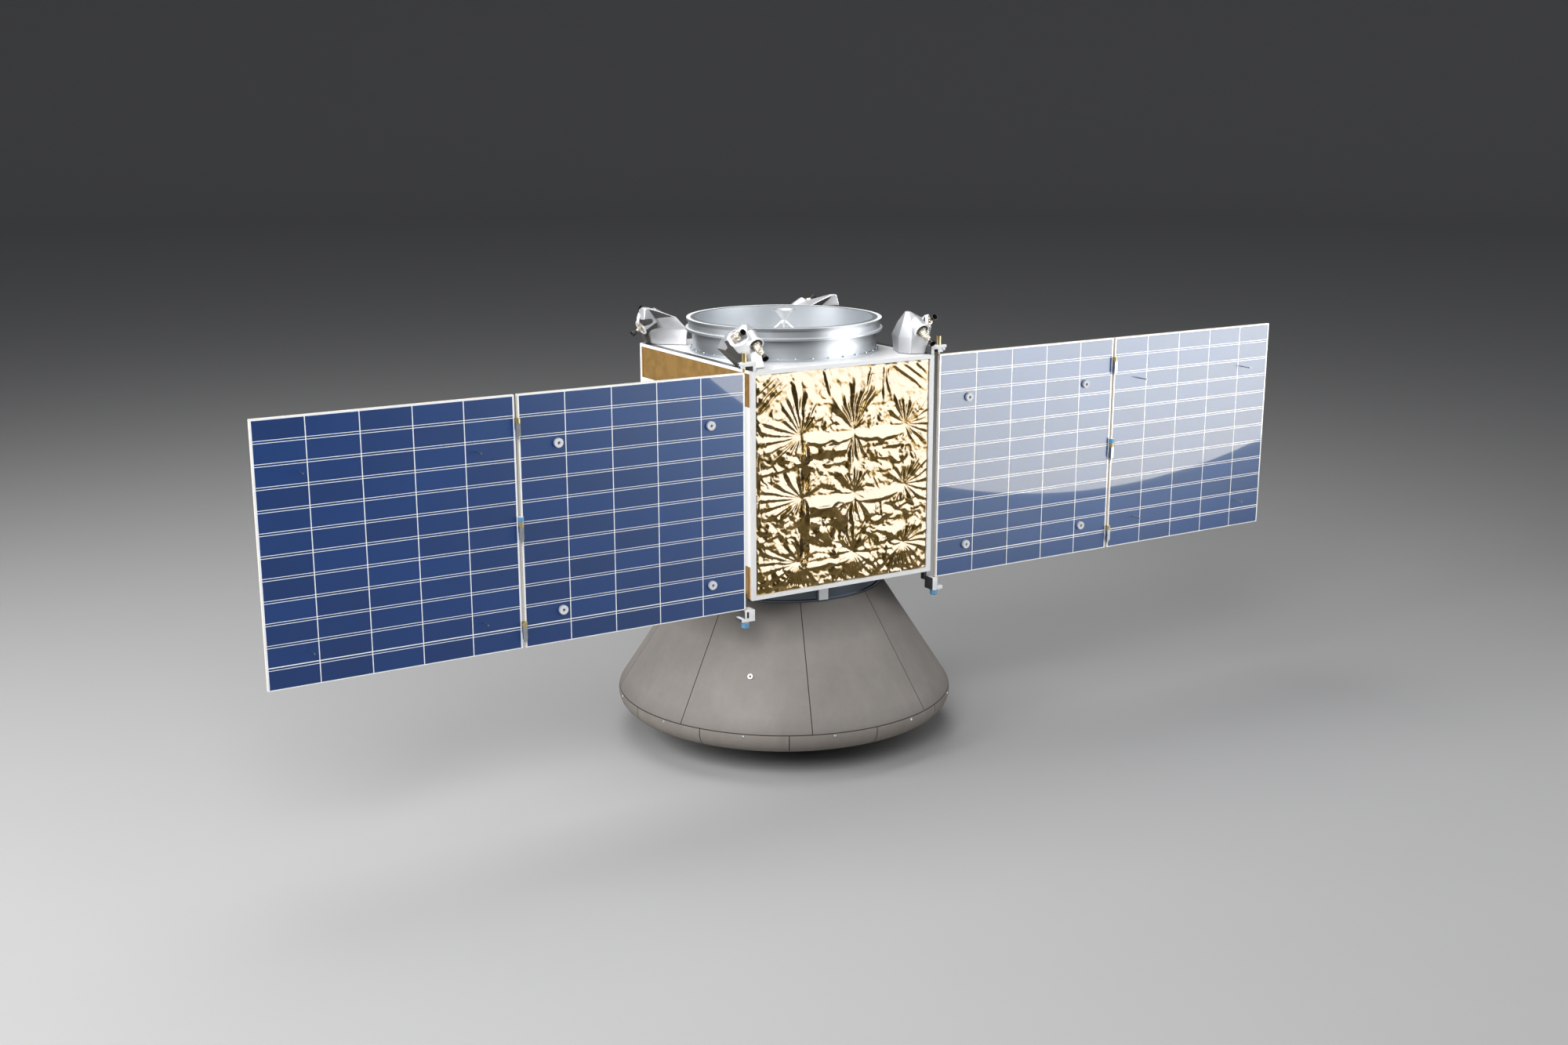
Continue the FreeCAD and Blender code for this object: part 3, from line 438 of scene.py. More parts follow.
def shroudFinish():
    # satin shell, with painted shade where it faces down over the deck: dull and dark there
    finish = Finish("podShroud")
    under = (finish.normal()[2] * -1.0).kept(0.28, 0.38)
    cloud = finish.noise(14.0, 4.0)
    shell = finish.blend(cloud, shade(paints["foilSilver"], 0.95), shade(paints["foilSilver"], 1.03))
    finish.set({"Base_Color": finish.mix(under, shell, (0.055, 0.052, 0.046)),
                "Metallic": (1.0 - under) * 0.55, "Roughness": finish.noise(42.0, 4.0) * 0.16 + 0.32})
    finish.bump(finish.noise(60.0, 2.0), 0.05, 0.0004)
    return finish


finishes = {
    "tile": tileFinish("coneTile", paints["tile"], 0.165, 4, 22.5),
    "shoulder": tileFinish("shoulderTile", paints["shieldTile"], 0.06, 6, 0.0),
    "shield": tileFinish("shieldTile", paints["shieldTile"], 0.06, 0, 0.0),
    "white": mottled("whitePaint", paints["white"], 0.42, spread=0.035, lift=0.10),
    "bare": brushedFinish("plainPlate", paints["bare"], 0.42, (8.0, 400.0, 8.0)),
    "ring": ringFinish("ringAlloy", paints["ring"], 0.36, 0.85),
    "bell": mottled("bellCoating", (0.62, 0.64, 0.66), 0.36, 0.55, 0.05),
    # the join ring's dark colour is painted shade, as it sits in the shadow under the bus
    "sleeve": brushedFinish("joinRing", (0.085, 0.10, 0.12), 0.24, (3.0, 3.0, 900.0)),
    "shroud": shroudFinish(),
    "gold": goldFinish(),
    "amber": filmFinish("amberFilm", paints["amber"], 0.42, 0.5),
    "cell": cellFinish(), "panel": panelFinish(),
    "hinge": brushedFinish("hingeAlloy", (0.50, 0.53, 0.57), 0.30, (60.0, 60.0, 60.0)),
    "bracket": bracketFinish(),
    "cup": cupFinish(),
    "brass": brushedFinish("brassPin", paints["brass"], 0.30, (40.0, 40.0, 500.0)),
    "cream": brushedFinish("jetBarrel", (0.74, 0.66, 0.53), 0.34, (60.0, 60.0, 60.0), metal=0.8),
    "flare": brushedFinish("jetFlare", (0.045, 0.043, 0.045), 0.30, (60.0, 60.0, 60.0), metal=0.7),
    "bright": brushedFinish("valveSteel", (0.62, 0.62, 0.60), 0.28, (80.0, 80.0, 80.0)),
    "blue": capFinish(),
    "graphite": brushedFinish("darkEdging", (0.10, 0.105, 0.11), 0.40, (6.0, 300.0, 6.0), metal=0.6),
    # black, as painted shade inside the port
    "dark": mottled("darkInside", paints["black"], 0.6, spread=0.3),
    "screw": brushedFinish("screwSteel", (0.62, 0.64, 0.66), 0.30, (300.0, 300.0, 300.0)),
}
print("finishes made:", len(finishes))

flat, bend, wall = studio["bowl"]                 # flat floor that sweeps up all round
steps = 96
sweep = [math.radians(degrees) for degrees in range(6, 91, 6)]
outline = [(flat, 0.0)] + [(flat + bend * math.sin(angle), bend - bend * math.cos(angle)) for angle in sweep]
outline.append((flat + bend, wall))
points = [(0.0, 0.0, 0.0)] + [(radius * math.cos(2 * math.pi * i / steps),
                               radius * math.sin(2 * math.pi * i / steps), height)
                              for radius, height in outline for i in range(steps)]
faces = [(0, 1 + i, 1 + (i + 1) % steps) for i in range(steps)]
for row in range(len(outline) - 1):
    start = 1 + row * steps
    faces += [(start + i, start + steps + i, start + steps + (i + 1) % steps, start + (i + 1) % steps)
              for i in range(steps)]
stageMesh = bpy.data.meshes.new("floor")
stageMesh.from_pydata(points, [], faces)
stageMesh.shade_smooth()
floorPiece = bpy.data.objects.new("floor", stageMesh)
scene.collection.objects.link(floorPiece)
stageFinish = Finish("floorPaint", Roughness=0.85, IOR=1.3)
stageFinish.set({"Base_Color": stageFinish.mix(stageFinish.noise(3.0, 3.0), studio["floor"],
                                               shade(studio["floor"], 1.03))})
stageMesh.materials.append(stageFinish.material)

world = bpy.data.worlds.new("studio")
scene.world = world
world.use_nodes = True
backdrop = world.node_tree.nodes["Background"]
backdrop.inputs[0].default_value = studio["sky"]
backdrop.inputs[1].default_value = studio["world"]
print("studio ready")

# mesh helpers


class Shape:
    def __init__(self):
        self.points, self.faces = [], []

    def add(self, points, faces, place=Matrix()):
        start = len(self.points)
        self.points += [tuple(place @ Vector(point)) for point in points]
        self.faces += [tuple(start + index for index in face) for face in faces]

    def lathe(self, outline, place=Matrix(), steps=24):
        # outline is (radius, height) from the foot's middle to the top's middle
        points, faces = [], []
        for radius, height in outline:
            for index in range(steps):
                angle = 2 * math.pi * index / steps
                points.append((radius * math.cos(angle), radius * math.sin(angle), height))
        for row in range(len(outline) - 1):
            for index in range(steps):
                following = (index + 1) % steps
                faces.append((row * steps + index, row * steps + following,
                              (row + 1) * steps + following, (row + 1) * steps + index))
        self.add(points, faces, place)

    def slab(self, low, high, bevel=0.0, place=Matrix()):
        work = bmesh.new()
        bmesh.ops.create_cube(work, size=1.0)
        centre = [(a + b) / 2 for a, b in zip(low, high)]
        extent = [b - a for a, b in zip(low, high)]
        bmesh.ops.transform(work, matrix=Matrix.Translation(centre) @ Matrix.Diagonal((*extent, 1.0)),
                            verts=work.verts)
        if bevel:
            bmesh.ops.bevel(work, geom=work.edges, offset=bevel, segments=2, affect="EDGES", profile=0.6)
        work.verts.index_update()
        self.add([vert.co.copy() for vert in work.verts],
                 [[vert.index for vert in face.verts] for face in work.faces], place)
        work.free()

    def piece(self, name, body, finish, slotName, sharp=35.0):
        mesh = bpy.data.meshes.new(name)
        mesh.from_pydata(self.points, [], self.faces)
        return dress(mesh, name, body, finish, sharp)


def dress(mesh, name, body, finish, sharp=35.0, closed=True):
    mesh.validate()
    work = bmesh.new()
    work.from_mesh(mesh)
    bmesh.ops.remove_doubles(work, verts=work.verts, dist=1e-6)
    if closed:
        bmesh.ops.recalc_face_normals(work, faces=work.faces)
    work.to_mesh(mesh)
    work.free()
    mesh.shade_smooth()
    mesh.set_sharp_from_angle(angle=math.radians(sharp))
    mesh.materials.append(finishes[finish].material)
    item = bpy.data.objects.new(name, mesh)
    scene.collection.objects.link(item)
    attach(item, body)
    return item


def facing(place, axis):
    # a matrix that stands a lathe's +Z along an axis at a place
    return Matrix.Translation(place) @ Vector(axis).to_track_quat("Z", "Y").to_matrix().to_4x4()


def paintNode(node, finish):
    mesh = nodes[node].data
    mesh.materials.clear()
    mesh.materials.append(finishes[finish].material)


levels = {name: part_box(name) for name in nodes}

# finishes on the plain nodes

plain = {
    "heat_shield": "shield", "shoulder_tiles": "shoulder", "cone_panels": "tile", "port_sleeve": "white",
    "capsule_lid": "bare", "payload_canister": "bare", "separation_ring": "sleeve", "ring_clamps": "bare",
    "bus_floor": "bare", "top_deck": "white", "front_frame": "white", "back_frame": "white",
    "left_side_panel": "white", "right_side_panel": "white", "left_film_strips": "amber",
    "right_film_strips": "amber", "propellant_tank": "bare", "launch_ring": "ring", "main_thruster": "bell",
    "thruster_mount": "white",
}
for end, side, sign in podPlaces:
    plain["%s_%s_pod" % (end, side)] = "shroud"
    plain["%s_%s_jets" % (end, side)] = "cream"
for side, sign in sides:
    for part, finish in (("inner_panel", "panel"), ("outer_panel", "panel"), ("cups", "cup"),
                         ("rods", "hinge"), ("hinge_button", "blue"), ("inner_leaves", "hinge"),
                         ("outer_leaves", "hinge"), ("middle_pins", "brass"), ("root_brackets", "bracket"),
                         ("root_pins", "brass"), ("root_button", "blue")):
        plain["%s_%s" % (side, part)] = finish
for node, finish in plain.items():
    paintNode(node, finish)
    if finish == "panel":
        cellGlass.objects.link(nodes[node])
print("plain nodes painted:", len(plain))

# solar cells

cells = {"columns": 5, "rows": 12, "pitch": 0.1177, "rise": 0.0493, "line": 0.0022, "rowLine": 0.0014,
         "strip": 0.0040, "border": 0.0030, "lift": 0.00025, "edge": 0.0003, "foot": 0.0033,
         "firstRow": 0.001, "shift": 0.002, "bore": 0.0055,
         "cups": ((0.3864, 0.5183), (0.7845, 0.5183), (0.3864, 0.9138), (0.7845, 0.9138))}


def cellPanel(side, sign, part):
    rng = np.random.default_rng(sum(map(ord, side + part)))
    low, high = levels["%s_%s_panel" % (side, part)]
    face = low.y
    points, faces, tones = [], [], []
    bore = cells["bore"]
    spots = [(sign * x, z) for x, z in cells["cups"]] if part == "inner" else []

    def tile(left, right, foot, top, tone):
        start = len(points)
        edge, lift = cells["edge"], cells["lift"]
        for inset, out in ((0.0, 0.0), (edge, lift)):
            x0, x1, z0, z1 = left + inset, right - inset, foot + inset, top - inset
            points.extend([(x0, face - out, z0), (x1, face - out, z0),
                           (x1, face - out, z1), (x0, face - out, z1)])
        for index in range(4):
            following = (index + 1) % 4
            faces.append((start + index, start + following, start + 4 + following, start + 4 + index))
        tones.extend([tone] * 4)
        # open under the cups, where the rods go in
        ends = (left + edge, right - edge, foot + edge, top - edge)
        holes = [(x - bore, x + bore, z - bore, z + bore) for x, z in spots
                 if ends[0] < x + bore and x - bore < ends[1] and ends[2] < z + bore and z - bore < ends[3]]
        if not holes:
            faces.append((start + 4, start + 5, start + 6, start + 7))
            tones.append(tone)
            return
        hole = holes[0]
        acrossCuts = sorted({ends[0], max(hole[0], ends[0]), min(hole[1], ends[1]), ends[1]})
        upCuts = sorted({ends[2], max(hole[2], ends[2]), min(hole[3], ends[3]), ends[3]})
        for x0, x1 in zip(acrossCuts, acrossCuts[1:]):
            for z0, z1 in zip(upCuts, upCuts[1:]):
                if not (x0 >= hole[0] and x1 <= hole[1] and z0 >= hole[2] and z1 <= hole[3]):
                    at = len(points)
                    points.extend([(x0, face - lift, z0), (x1, face - lift, z0), (x1, face - lift, z1),
                                   (x0, face - lift, z1)])
                    faces.append((at, at + 1, at + 2, at + 3))
                    tones.append(tone)

    border = cells["border"]
    columnEdges = [low.x + border]
    middle = (low.x + high.x) / 2 + (cells["shift"] if side == "right" else -cells["shift"])
    for index in range(1, cells["columns"]):
        columnEdges.append(middle + (index - cells["columns"] / 2) * cells["pitch"])
    columnEdges.append(high.x - border)
    for row in range(cells["rows"]):
        foot = low.z + cells["foot"] + row * cells["rise"] - (0.0 if row else cells["firstRow"])
        strip = foot + cells["rise"] - cells["rowLine"] - cells["strip"]
        for column in range(cells["columns"]):
            left = columnEdges[column] + cells["line"] / 2
            right = columnEdges[column + 1] - cells["line"] / 2
            tone = rng.random()
            tile(left, right, foot, strip - cells["rowLine"], tone)
            if row < cells["rows"] - 1:
                tile(left, right, strip, strip + cells["strip"], tone)
    mesh = bpy.data.meshes.new("cells")
    mesh.from_pydata(points, [], faces)
    mesh.attributes.new("tone", "FLOAT", "FACE").data.foreach_set("value", tones)
    sheet = dress(mesh, "%s_%s_cells" % (side, part), "%s_%s_wing" % (side, part), "cell",
                  10.0)
    cellGlass.objects.link(sheet)


for side, sign, part in wings:
    cellPanel(side, sign, part)
print("solar cells laid")

# flat harness strips on the wings' backs

harness = {"wide": 0.009, "thick": 0.0004, "sunk": 0.0002, "bevel": 0.0002, "inset": 0.022, "lead": 0.040,
           "levels": (0.28, 0.70), "leadLevels": (0.27, 0.73)}
for side, sign, part in wings:
    low, high = levels["%s_%s_panel" % (side, part)]
    back, tall, half = high.y, high.z - low.z, harness["wide"] / 2
    tapes = Shape()
    for share in harness["levels"]:
        foot = low.z + share * tall
        tapes.slab((low.x + harness["inset"], back - harness["sunk"], foot),
                   (high.x - harness["inset"], back + harness["thick"], foot + harness["wide"]),
                   harness["bevel"])
    near = high.x - harness["lead"] if side == "left" else low.x + harness["lead"]
    foot, top = [low.z + share * tall for share in harness["leadLevels"]]
    tapes.slab((near - half, back - harness["sunk"], foot), (near + half, back + harness["thick"] * 1.6, top),
               harness["bevel"])
    tapes.piece("%s_%s_harness" % (side, part), "%s_%s_wing" % (side, part), "amber", "amber_film")
print("harness laid")

# crinkled foil

foil = {
    "step": 0.0020, "margin": 0.004, "headMargin": 0.009, "deepest": 0.2842, "base": 0.2876, "proud": 0.0080,
    "seed": {"front": 11, "back": 16}, "tuck": 0.0004, "pocketLean": 0.42,
    # how far the folds wander and bend: scale and amount in millimetres
    "wander": (38, 4), "bend": (70, 12), "pinchReach": 14, "widest": 17.0, "cleanHead": (425, 40),
    "pinch": 2.6, "steep": 0.62, "fold": 1.3, "crumple": 1.0,
    # each gather: across, up from the sheet's foot, then its folds (degrees, reach, lift), in millimetres
    "gathers": (
        (-128, 390, ((158, 135, 4.5), (172, 140, 4.5), (184, 140, 4.5), (197, 140, 4.5), (209, 130, 4.5),
                     (226, 84, 3.2), (252, 60, 2.0), (293, 62, 2.6), (50, 98, 2.4), (64, 120, 3.0),
                     (80, 150, 3.4), (96, 170, 4.2), (109, 124, 3.6), (122, 112, 3.2), (138, 80, 2.4))),
        (29, 391, ((126, 124, 4.8), (108, 116, 3.6), (92, 165, 4.2), (76, 148, 3.6), (62, 168, 4.6),
                   (40, 68, 2.6), (172, 60, 1.6), (243, 84, 3.6), (262, 155, 2.8), (280, 100, 3.0),
                   (300, 84, 3.2), (330, 44, 1.8))),
        (187, 391, ((40, 102, 3.2), (26, 90, 3.8), (12, 88, 4.2), (-3, 86, 4.2), (-19, 90, 4.2),
                    (-38, 108, 4.0), (-62, 84, 3.0), (70, 94, 3.0), (92, 90, 2.8), (114, 112, 4.0),
                    (138, 80, 3.6), (170, 46, 1.8), (236, 68, 2.8), (262, 56, 2.2))),
        (-127, 232, ((148, 106, 3.6), (163, 136, 4.4), (175, 140, 4.4), (188, 140, 4.6), (203, 136, 4.4),
                     (218, 102, 3.6), (240, 66, 2.4), (32, 62, 2.4), (58, 76, 2.4), (90, 70, 2.4),
                     (124, 96, 3.4), (290, 64, 2.8))),
        (31, 229, ((126, 96, 4.4), (106, 74, 3.0), (86, 98, 3.0), (62, 88, 3.6), (38, 56, 2.0),
                   (172, 50, 1.6), (246, 96, 3.8), (266, 155, 2.6), (284, 100, 3.0), (306, 106, 4.4),
                   (334, 58, 2.6))),
        (186, 233, ((60, 102, 3.4), (44, 106, 4.0), (24, 92, 4.2), (8, 88, 4.2), (-14, 88, 4.2),
                    (-36, 104, 4.0), (-58, 82, 3.2), (84, 74, 2.4), (118, 78, 2.8), (142, 68, 2.4),
                    (230, 70, 3.0), (256, 64, 2.4))),
        (-133, 67, ((152, 136, 4.4), (162, 140, 4.4), (173, 140, 4.6), (184, 136, 4.4), (199, 120, 3.8),
                    (216, 112, 4.4), (232, 88, 2.8), (246, 80, 2.2), (258, 76, 2.2), (271, 74, 2.2),
                    (284, 76, 2.2), (297, 82, 2.6), (314, 104, 4.8), (334, 70, 2.8), (0, 60, 2.0),
                    (40, 58, 2.0), (92, 74, 2.6), (124, 74, 2.8))),
        (28, 75, ((232, 104, 3.4), (243, 92, 2.6), (253, 86, 2.4), (263, 84, 2.4), (273, 84, 2.4),
                  (284, 90, 2.6), (298, 96, 4.4), (312, 100, 4.2), (330, 80, 2.8), (0, 46, 2.0),
                  (46, 68, 2.8), (84, 130, 2.8), (104, 84, 2.8), (132, 80, 4.0), (172, 60, 2.6),
                  (204, 66, 2.6))),
        (186, 78, ((214, 92, 3.4), (232, 98, 3.4), (247, 88, 2.6), (260, 84, 2.4), (273, 82, 2.4),
                   (287, 86, 2.6), (302, 96, 3.2), (318, 106, 3.8), (-14, 92, 4.0), (4, 90, 4.2),
                   (22, 94, 4.2), (42, 96, 4.0), (66, 76, 3.0), (96, 60, 2.2), (140, 64, 2.6),
                   (176, 50, 2.0))),
    ),
    # slack between two gathers: first, second, drop below their line, fall under it, lift
    "swags": ((0, 1, 27, 13, 6.6), (1, 2, 26, 15, 6.6), (3, 4, 27, 16, 6.8), (4, 5, 24, 14, 4.6),
              (6, 7, 20, 12, 3.8)),
    # long free creases: from, to, half width, lift
    "creases": (((-258, 476), (-172, 548), 9, 3.6), ((-258, 452), (-150, 548), 10, 3.8),
                ((-258, 502), (-196, 552), 8, 3.2), ((-60, 555), (-38, 470), 9, 3.4),
                ((80, 552), (58, 450), 9, 3.6), ((120, 552), (150, 452), 9, 3.6),
                ((146, 552), (255, 470), 11, 4.0), ((180, 552), (256, 500), 9, 3.6),
                ((222, 552), (257, 520), 8, 3.0), ((118, 552), (126, 440), 8, 3.0),
                ((-258, 300), (-160, 318), 10, 3.4), ((-258, 132), (-180, 152), 10, 3.4)),
    # crumples: direction in degrees, half wave, lift
    "waves": ((76, 17, 1.9), (112, 22, 2.3), (24, 20, 1.7), (152, 26, 1.9), (98, 10, 0.9), (48, 9, 0.75),
              (18, 7, 0.5)),
    # how far the sheet looks up at its foot, and how much more at its head
    "lean": (0.085, 0.080),
    # pockets where the film looks down, painted in shade: across, up, half width, half height, depth of the
    # painted shade and lean
    "pockets": ((-45, 334, 60, 20, 1.0), (95, 346, 55, 9, 0.8), (150, 336, 50, 8, 0.8),
                (-116, 310, 13, 60, 1.0), (-118, 140, 15, 80, 1.0), (-60, 186, 60, 18, 1.0),
                (-18, 160, 30, 46, 1.0), (-60, 120, 40, 30, 0.6), (-126, 30, 88, 34, 0.45),
                (24, 32, 66, 34, 0.5), (190, 38, 64, 36, 0.3), (-256, 300, 8, 60, 0.6),
                (140, 100, 30, 26, 0.5), (-256, 200, 8, 50, 0.6)),
}


def smooth(part):
    return part * part * (3 - 2 * part)


def valueNoise(x, z, scale, rng, octaves=1):
    total = np.zeros_like(x)
    amount = 1.0
    for _ in range(octaves):
        size = 64
        table = rng.random((size, size)) * 2 - 1
        u, v = x / scale + 17.3, z / scale + 9.1
        iu, iv = np.floor(u).astype(int), np.floor(v).astype(int)
        fu, fv = u - iu, v - iv
        fu, fv = smooth(fu), smooth(fv)
        a, b = table[iu % size, iv % size], table[(iu + 1) % size, iv % size]
        c, d = table[iu % size, (iv + 1) % size], table[(iu + 1) % size, (iv + 1) % size]
        total += amount * (a * (1 - fu) * (1 - fv) + b * fu * (1 - fv) + c * (1 - fu) * fv + d * fu * fv)
        amount, scale = amount * 0.5, scale / 2.03
    return total


def crumples(x, z, rng):
    total = np.zeros_like(x)
    for degrees, half, lift in foil["waves"]:
        radian = math.radians(degrees)
        bend = valueNoise(x, z, half * 2.6, rng, 2) * half * 1.3
        along = (x * math.cos(radian) + z * math.sin(radian) + bend) / half + rng.random() * 9
        fold = np.abs((along % 2) - 1)
        keep = np.clip(0.5 + valueNoise(x, z, half * 2.2, rng) * 1.4, 0, 1)
        total += lift * fold * keep
    return total


def litFlank(across, up):
    # above 0 where the flank left of a fold that runs this way looks up and to the right
    return -0.35 * up + 0.94 * across


def gatherFolds(x, z, across, up, folds, wander):
    dx, dz = x - across, z - up
    reach = np.hypot(dx, dz) + 1e-9
    angle = np.degrees(np.arctan2(dz, dx)) + wander * np.clip(reach / 50, 0, 1)
    order = sorted(folds, key=lambda fold: fold[0] % 360)
    field = np.zeros_like(x)
    for index, (degrees, length, lift) in enumerate(order):
        before = (degrees - order[index - 1][0]) % 360 or 360
        after = (order[(index + 1) % len(order)][0] - degrees) % 360 or 360
        turn = (angle - degrees + 180) % 360 - 180
        radian = math.radians(degrees)
        lean = 0.5 + 0.14 * litFlank(math.cos(radian), math.sin(radian))
        wideAfter, wideBefore = [min(wide, foil["widest"]) for wide in (after * lean, before * (1 - lean))]
        part = np.where(turn >= 0, turn / wideAfter, -turn / wideBefore)
        crest = np.clip(1 - part, 0, 1)
        width = reach * math.radians(min(wideAfter, wideBefore))
        far = np.clip((reach - 0.55 * length) / (0.50 * length), 0, 1)
        height = np.minimum(lift * foil["fold"], foil["steep"] * width) * (1 - smooth(far))
        field = np.maximum(field, height * crest)
    return field, reach


def foilHeights(x, z, rng):
    # x, z and the result are in millimetres, z from the sheet's foot
    (scale, amount), (bendScale, bendAmount) = foil["wander"], foil["bend"]
    wander = valueNoise(x, z, scale, rng) * amount
    bendX, bendZ = [valueNoise(x, z, bendScale, rng, 2) * bendAmount for _ in range(2)]
    total = np.zeros_like(x)
    near = np.full_like(x, 999.0)
    pinch = np.zeros_like(x)
    for across, up, folds in foil["gathers"]:
        folds, reach = gatherFolds(x, z, across, up, folds, wander)
        total = np.maximum(total, folds)
        pinch += foil["pinch"] * np.exp(-reach / foil["pinchReach"])
        near = np.minimum(near, reach)
    slack = np.zeros_like(x)
    for first, second, drop, fall, lift in foil["swags"]:
        (ax, az, _), (bx, bz, _) = foil["gathers"][first], foil["gathers"][second]
        along = (x - ax) / (bx - ax)
        span = np.clip(along * (1 - along) * 4, 0, 1) ** 0.45 * ((along > 0) & (along < 1))
        line = az + (bz - az) * along + 3 + bendZ * 0.5
        below = line - z
        drop = drop * (0.55 + 0.45 * span) * (1 + valueNoise(x, z * 0, 34, rng, 2) * 0.22)
        under = np.clip((below - drop) / fall, 0, 1)
        slope = np.clip(below / drop, 0, 1)
        slack = np.maximum(slack, lift * span * slope * (1 - smooth(under)))
    for (ax, az), (bx, bz), wide, lift in foil["creases"]:
        length = math.hypot(bx - ax, bz - az)
        ux, uz = (bx - ax) / length, (bz - az) / length
        along = ((x - ax) * ux + (z - az) * uz) / length
        side = -(x - ax) * uz + (z - az) * ux + bendX * 0.4
        lit = litFlank(ux, uz)
        part = np.where(side >= 0, side / (wide * (1 + 0.4 * lit)), -side / (wide * (1 - 0.4 * lit)))
        ends = np.clip(along / 0.15, 0, 1) * np.clip((1 - along) / 0.35, 0, 1)
        total = np.maximum(total, lift * np.clip(1 - part, 0, 1) ** 1.1 * ends)
    calm = np.clip((near - 10) / 40, 0, 1)
    calm = calm * (1 - 0.85 * np.clip(slack / 1.5, 0, 1)) * (1 - 0.45 * np.clip(total / 2.5, 0, 1))
    headFoot, headTall = foil["cleanHead"]
    calm = calm * (1 - 0.6 * np.clip((z - headFoot) / headTall, 0, 1))        # long clean strands
    total = np.maximum(total, slack)
    total += foil["crumple"] * (0.15 + calm) * (crumples(x, z, rng) - 1.6)
    return total - pinch


def foilPaintedLightAndLean(x, z, lift):
    # painted light of the film: how far it looks up at the light (1, painted highlight) or down (0, painted
    # shade), and the lean in millimetres that its folds leave
    atFoot, more = foil["lean"]
    lean = -(atFoot * z + more * z * z / (2 * z.max()))
    shaded = np.zeros_like(x)
    for across, up, wide, tall, depth in foil["pockets"]:
        inside = np.clip(1.7 - 1.5 * np.hypot((x - across) / wide, (z - up) / tall), 0, 1)
        lean += depth * foil["pocketLean"] * (z - up) * inside
        shaded = np.maximum(shaded, depth * inside)
    slopeX, slopeZ = np.gradient(lift + lean, x[1, 0] - x[0, 0], z[0, 1] - z[0, 0])
    tone = np.clip((-slopeZ * 0.94 - slopeX * 0.40 + 0.03) / 0.24, 0, 1)
    # painted reflection of the tall lamp: dull too where a fold, seen from the camera's place, mirrors past
    # the tall lamp: this step depends on the camera, and the film's color keeps it in every other view
    normal = np.stack([-slopeX, -np.ones_like(x), -slopeZ], -1)
    normal /= np.linalg.norm(normal, axis=-1, keepdims=True)
    spot = np.stack([x / 1000, np.full_like(x, -foil["base"]), z / 1000 + levels["front_blanket"][0].z], -1)
    sight = spot - np.array(shot["place"])
    sight /= np.linalg.norm(sight, axis=-1, keepdims=True)
    mirrored = sight - 2 * (sight * normal).sum(-1, keepdims=True) * normal
    lamp, ahead, across = [np.array(v) for v in (sheenPlace, studio["sheenAhead"], studio["sheenAcross"])]
    reach = ((lamp - spot) @ ahead) / (mirrored @ ahead)
    met = spot + mirrored * reach[..., None] - lamp
    away = np.hypot(met @ across * 2 / studio["discWide"], met[..., 2] * 2 / studio["sheenTall"])
    tone = np.minimum(tone, np.clip((1.02 - away) / 0.16, 0, 1) * (reach > 0))
    # painted shade in the pockets
    return tone * (1 - 0.35 * shaded), lean


def foilSheet(end, sign):
    rng = np.random.default_rng(foil["seed"][end])
    low, high = levels["%s_blanket" % end]
    step = foil["step"] * 1.0
    wide, tall = high.x - low.x, high.z - low.z
    acrossCount, upCount = int(wide / step), int(tall / step)
    x, z = np.meshgrid(np.linspace(low.x, high.x, acrossCount + 1), np.linspace(0, tall, upCount + 1),
                       indexing="ij")
    lift = foilHeights(x * 1000, z * 1000, rng)
    lift = np.clip(lift / 1000, foil["deepest"] - foil["base"], foil["proud"])
    head = (tall - z) * foil["margin"] / foil["headMargin"]
    rim = np.minimum(np.minimum(x - low.x, high.x - x), np.minimum(z, head))
    hold = smooth(np.clip(rim / foil["margin"], 0, 1))
    tone, lean = foilPaintedLightAndLean(x * 1000, z * 1000, lift * 1000)
    lift = lift * hold - foil["tuck"] * (1 - hold)
    points = np.stack([x * -sign, sign * (foil["base"] + lift), z + low.z], -1).reshape(-1, 3)
    row = upCount + 1
    faces = [(i * row + j, (i + 1) * row + j, (i + 1) * row + j + 1, i * row + j + 1)
             for i in range(acrossCount) for j in range(upCount)]
    mesh = bpy.data.meshes.new("foil")
    mesh.from_pydata(points.tolist(), [], faces)
    # tone carries the film's painted highlight and painted shade
    mesh.attributes.new("tone", "FLOAT", "POINT").data.foreach_set("value", tone.ravel())
    mesh.attributes.new("lean", "FLOAT", "POINT").data.foreach_set("value", (lean / 1000).ravel())
    piece = dress(mesh, "%s_foil" % end, "bus", "gold", 180.0, closed=False)
    area = sum(polygon.area for polygon in mesh.polygons)
    print("foil", end, "area against flat", round(area / (wide * tall), 3))
    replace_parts(piece, "%s_blanket" % end)
    grown = math.sqrt(area / (wide * tall))


foilSheet("front", -1)
foilSheet("back", 1)
print("foil hung")

# thruster barrels and flares, in place of the plain ones

jets = {
    # each jet: its name, its mouth in from the corner and up, the way it looks, and how far it stands out
    "front": (("high", (-0.0121, 0.0177, 0.0935), (-0.03, 0.88, 0.47), 0.030),
              ("low", (0.0248, -0.0255, 0.0316), (0.02, 0.86, -0.52), 0.055)),
    "back": (("high", (-0.0019, 0.0075, 0.0935), (0.88, 0.03, 0.47), 0.038),
             ("low", (-0.0451, 0.0444, 0.0316), (0.86, 0.02, -0.52), 0.031)),
    "socket": 0.012, "barrel": 0.0098, "neck": 0.0068, "throat": 0.0036, "mouth": 0.0086, "flare": 0.0150,
    "shoulder": 0.011,
}
halfWide, halfDeep = levels["right_side_panel"][1].x, -levels["front_frame"][0].y
deckTop = levels["top_deck"][1].z


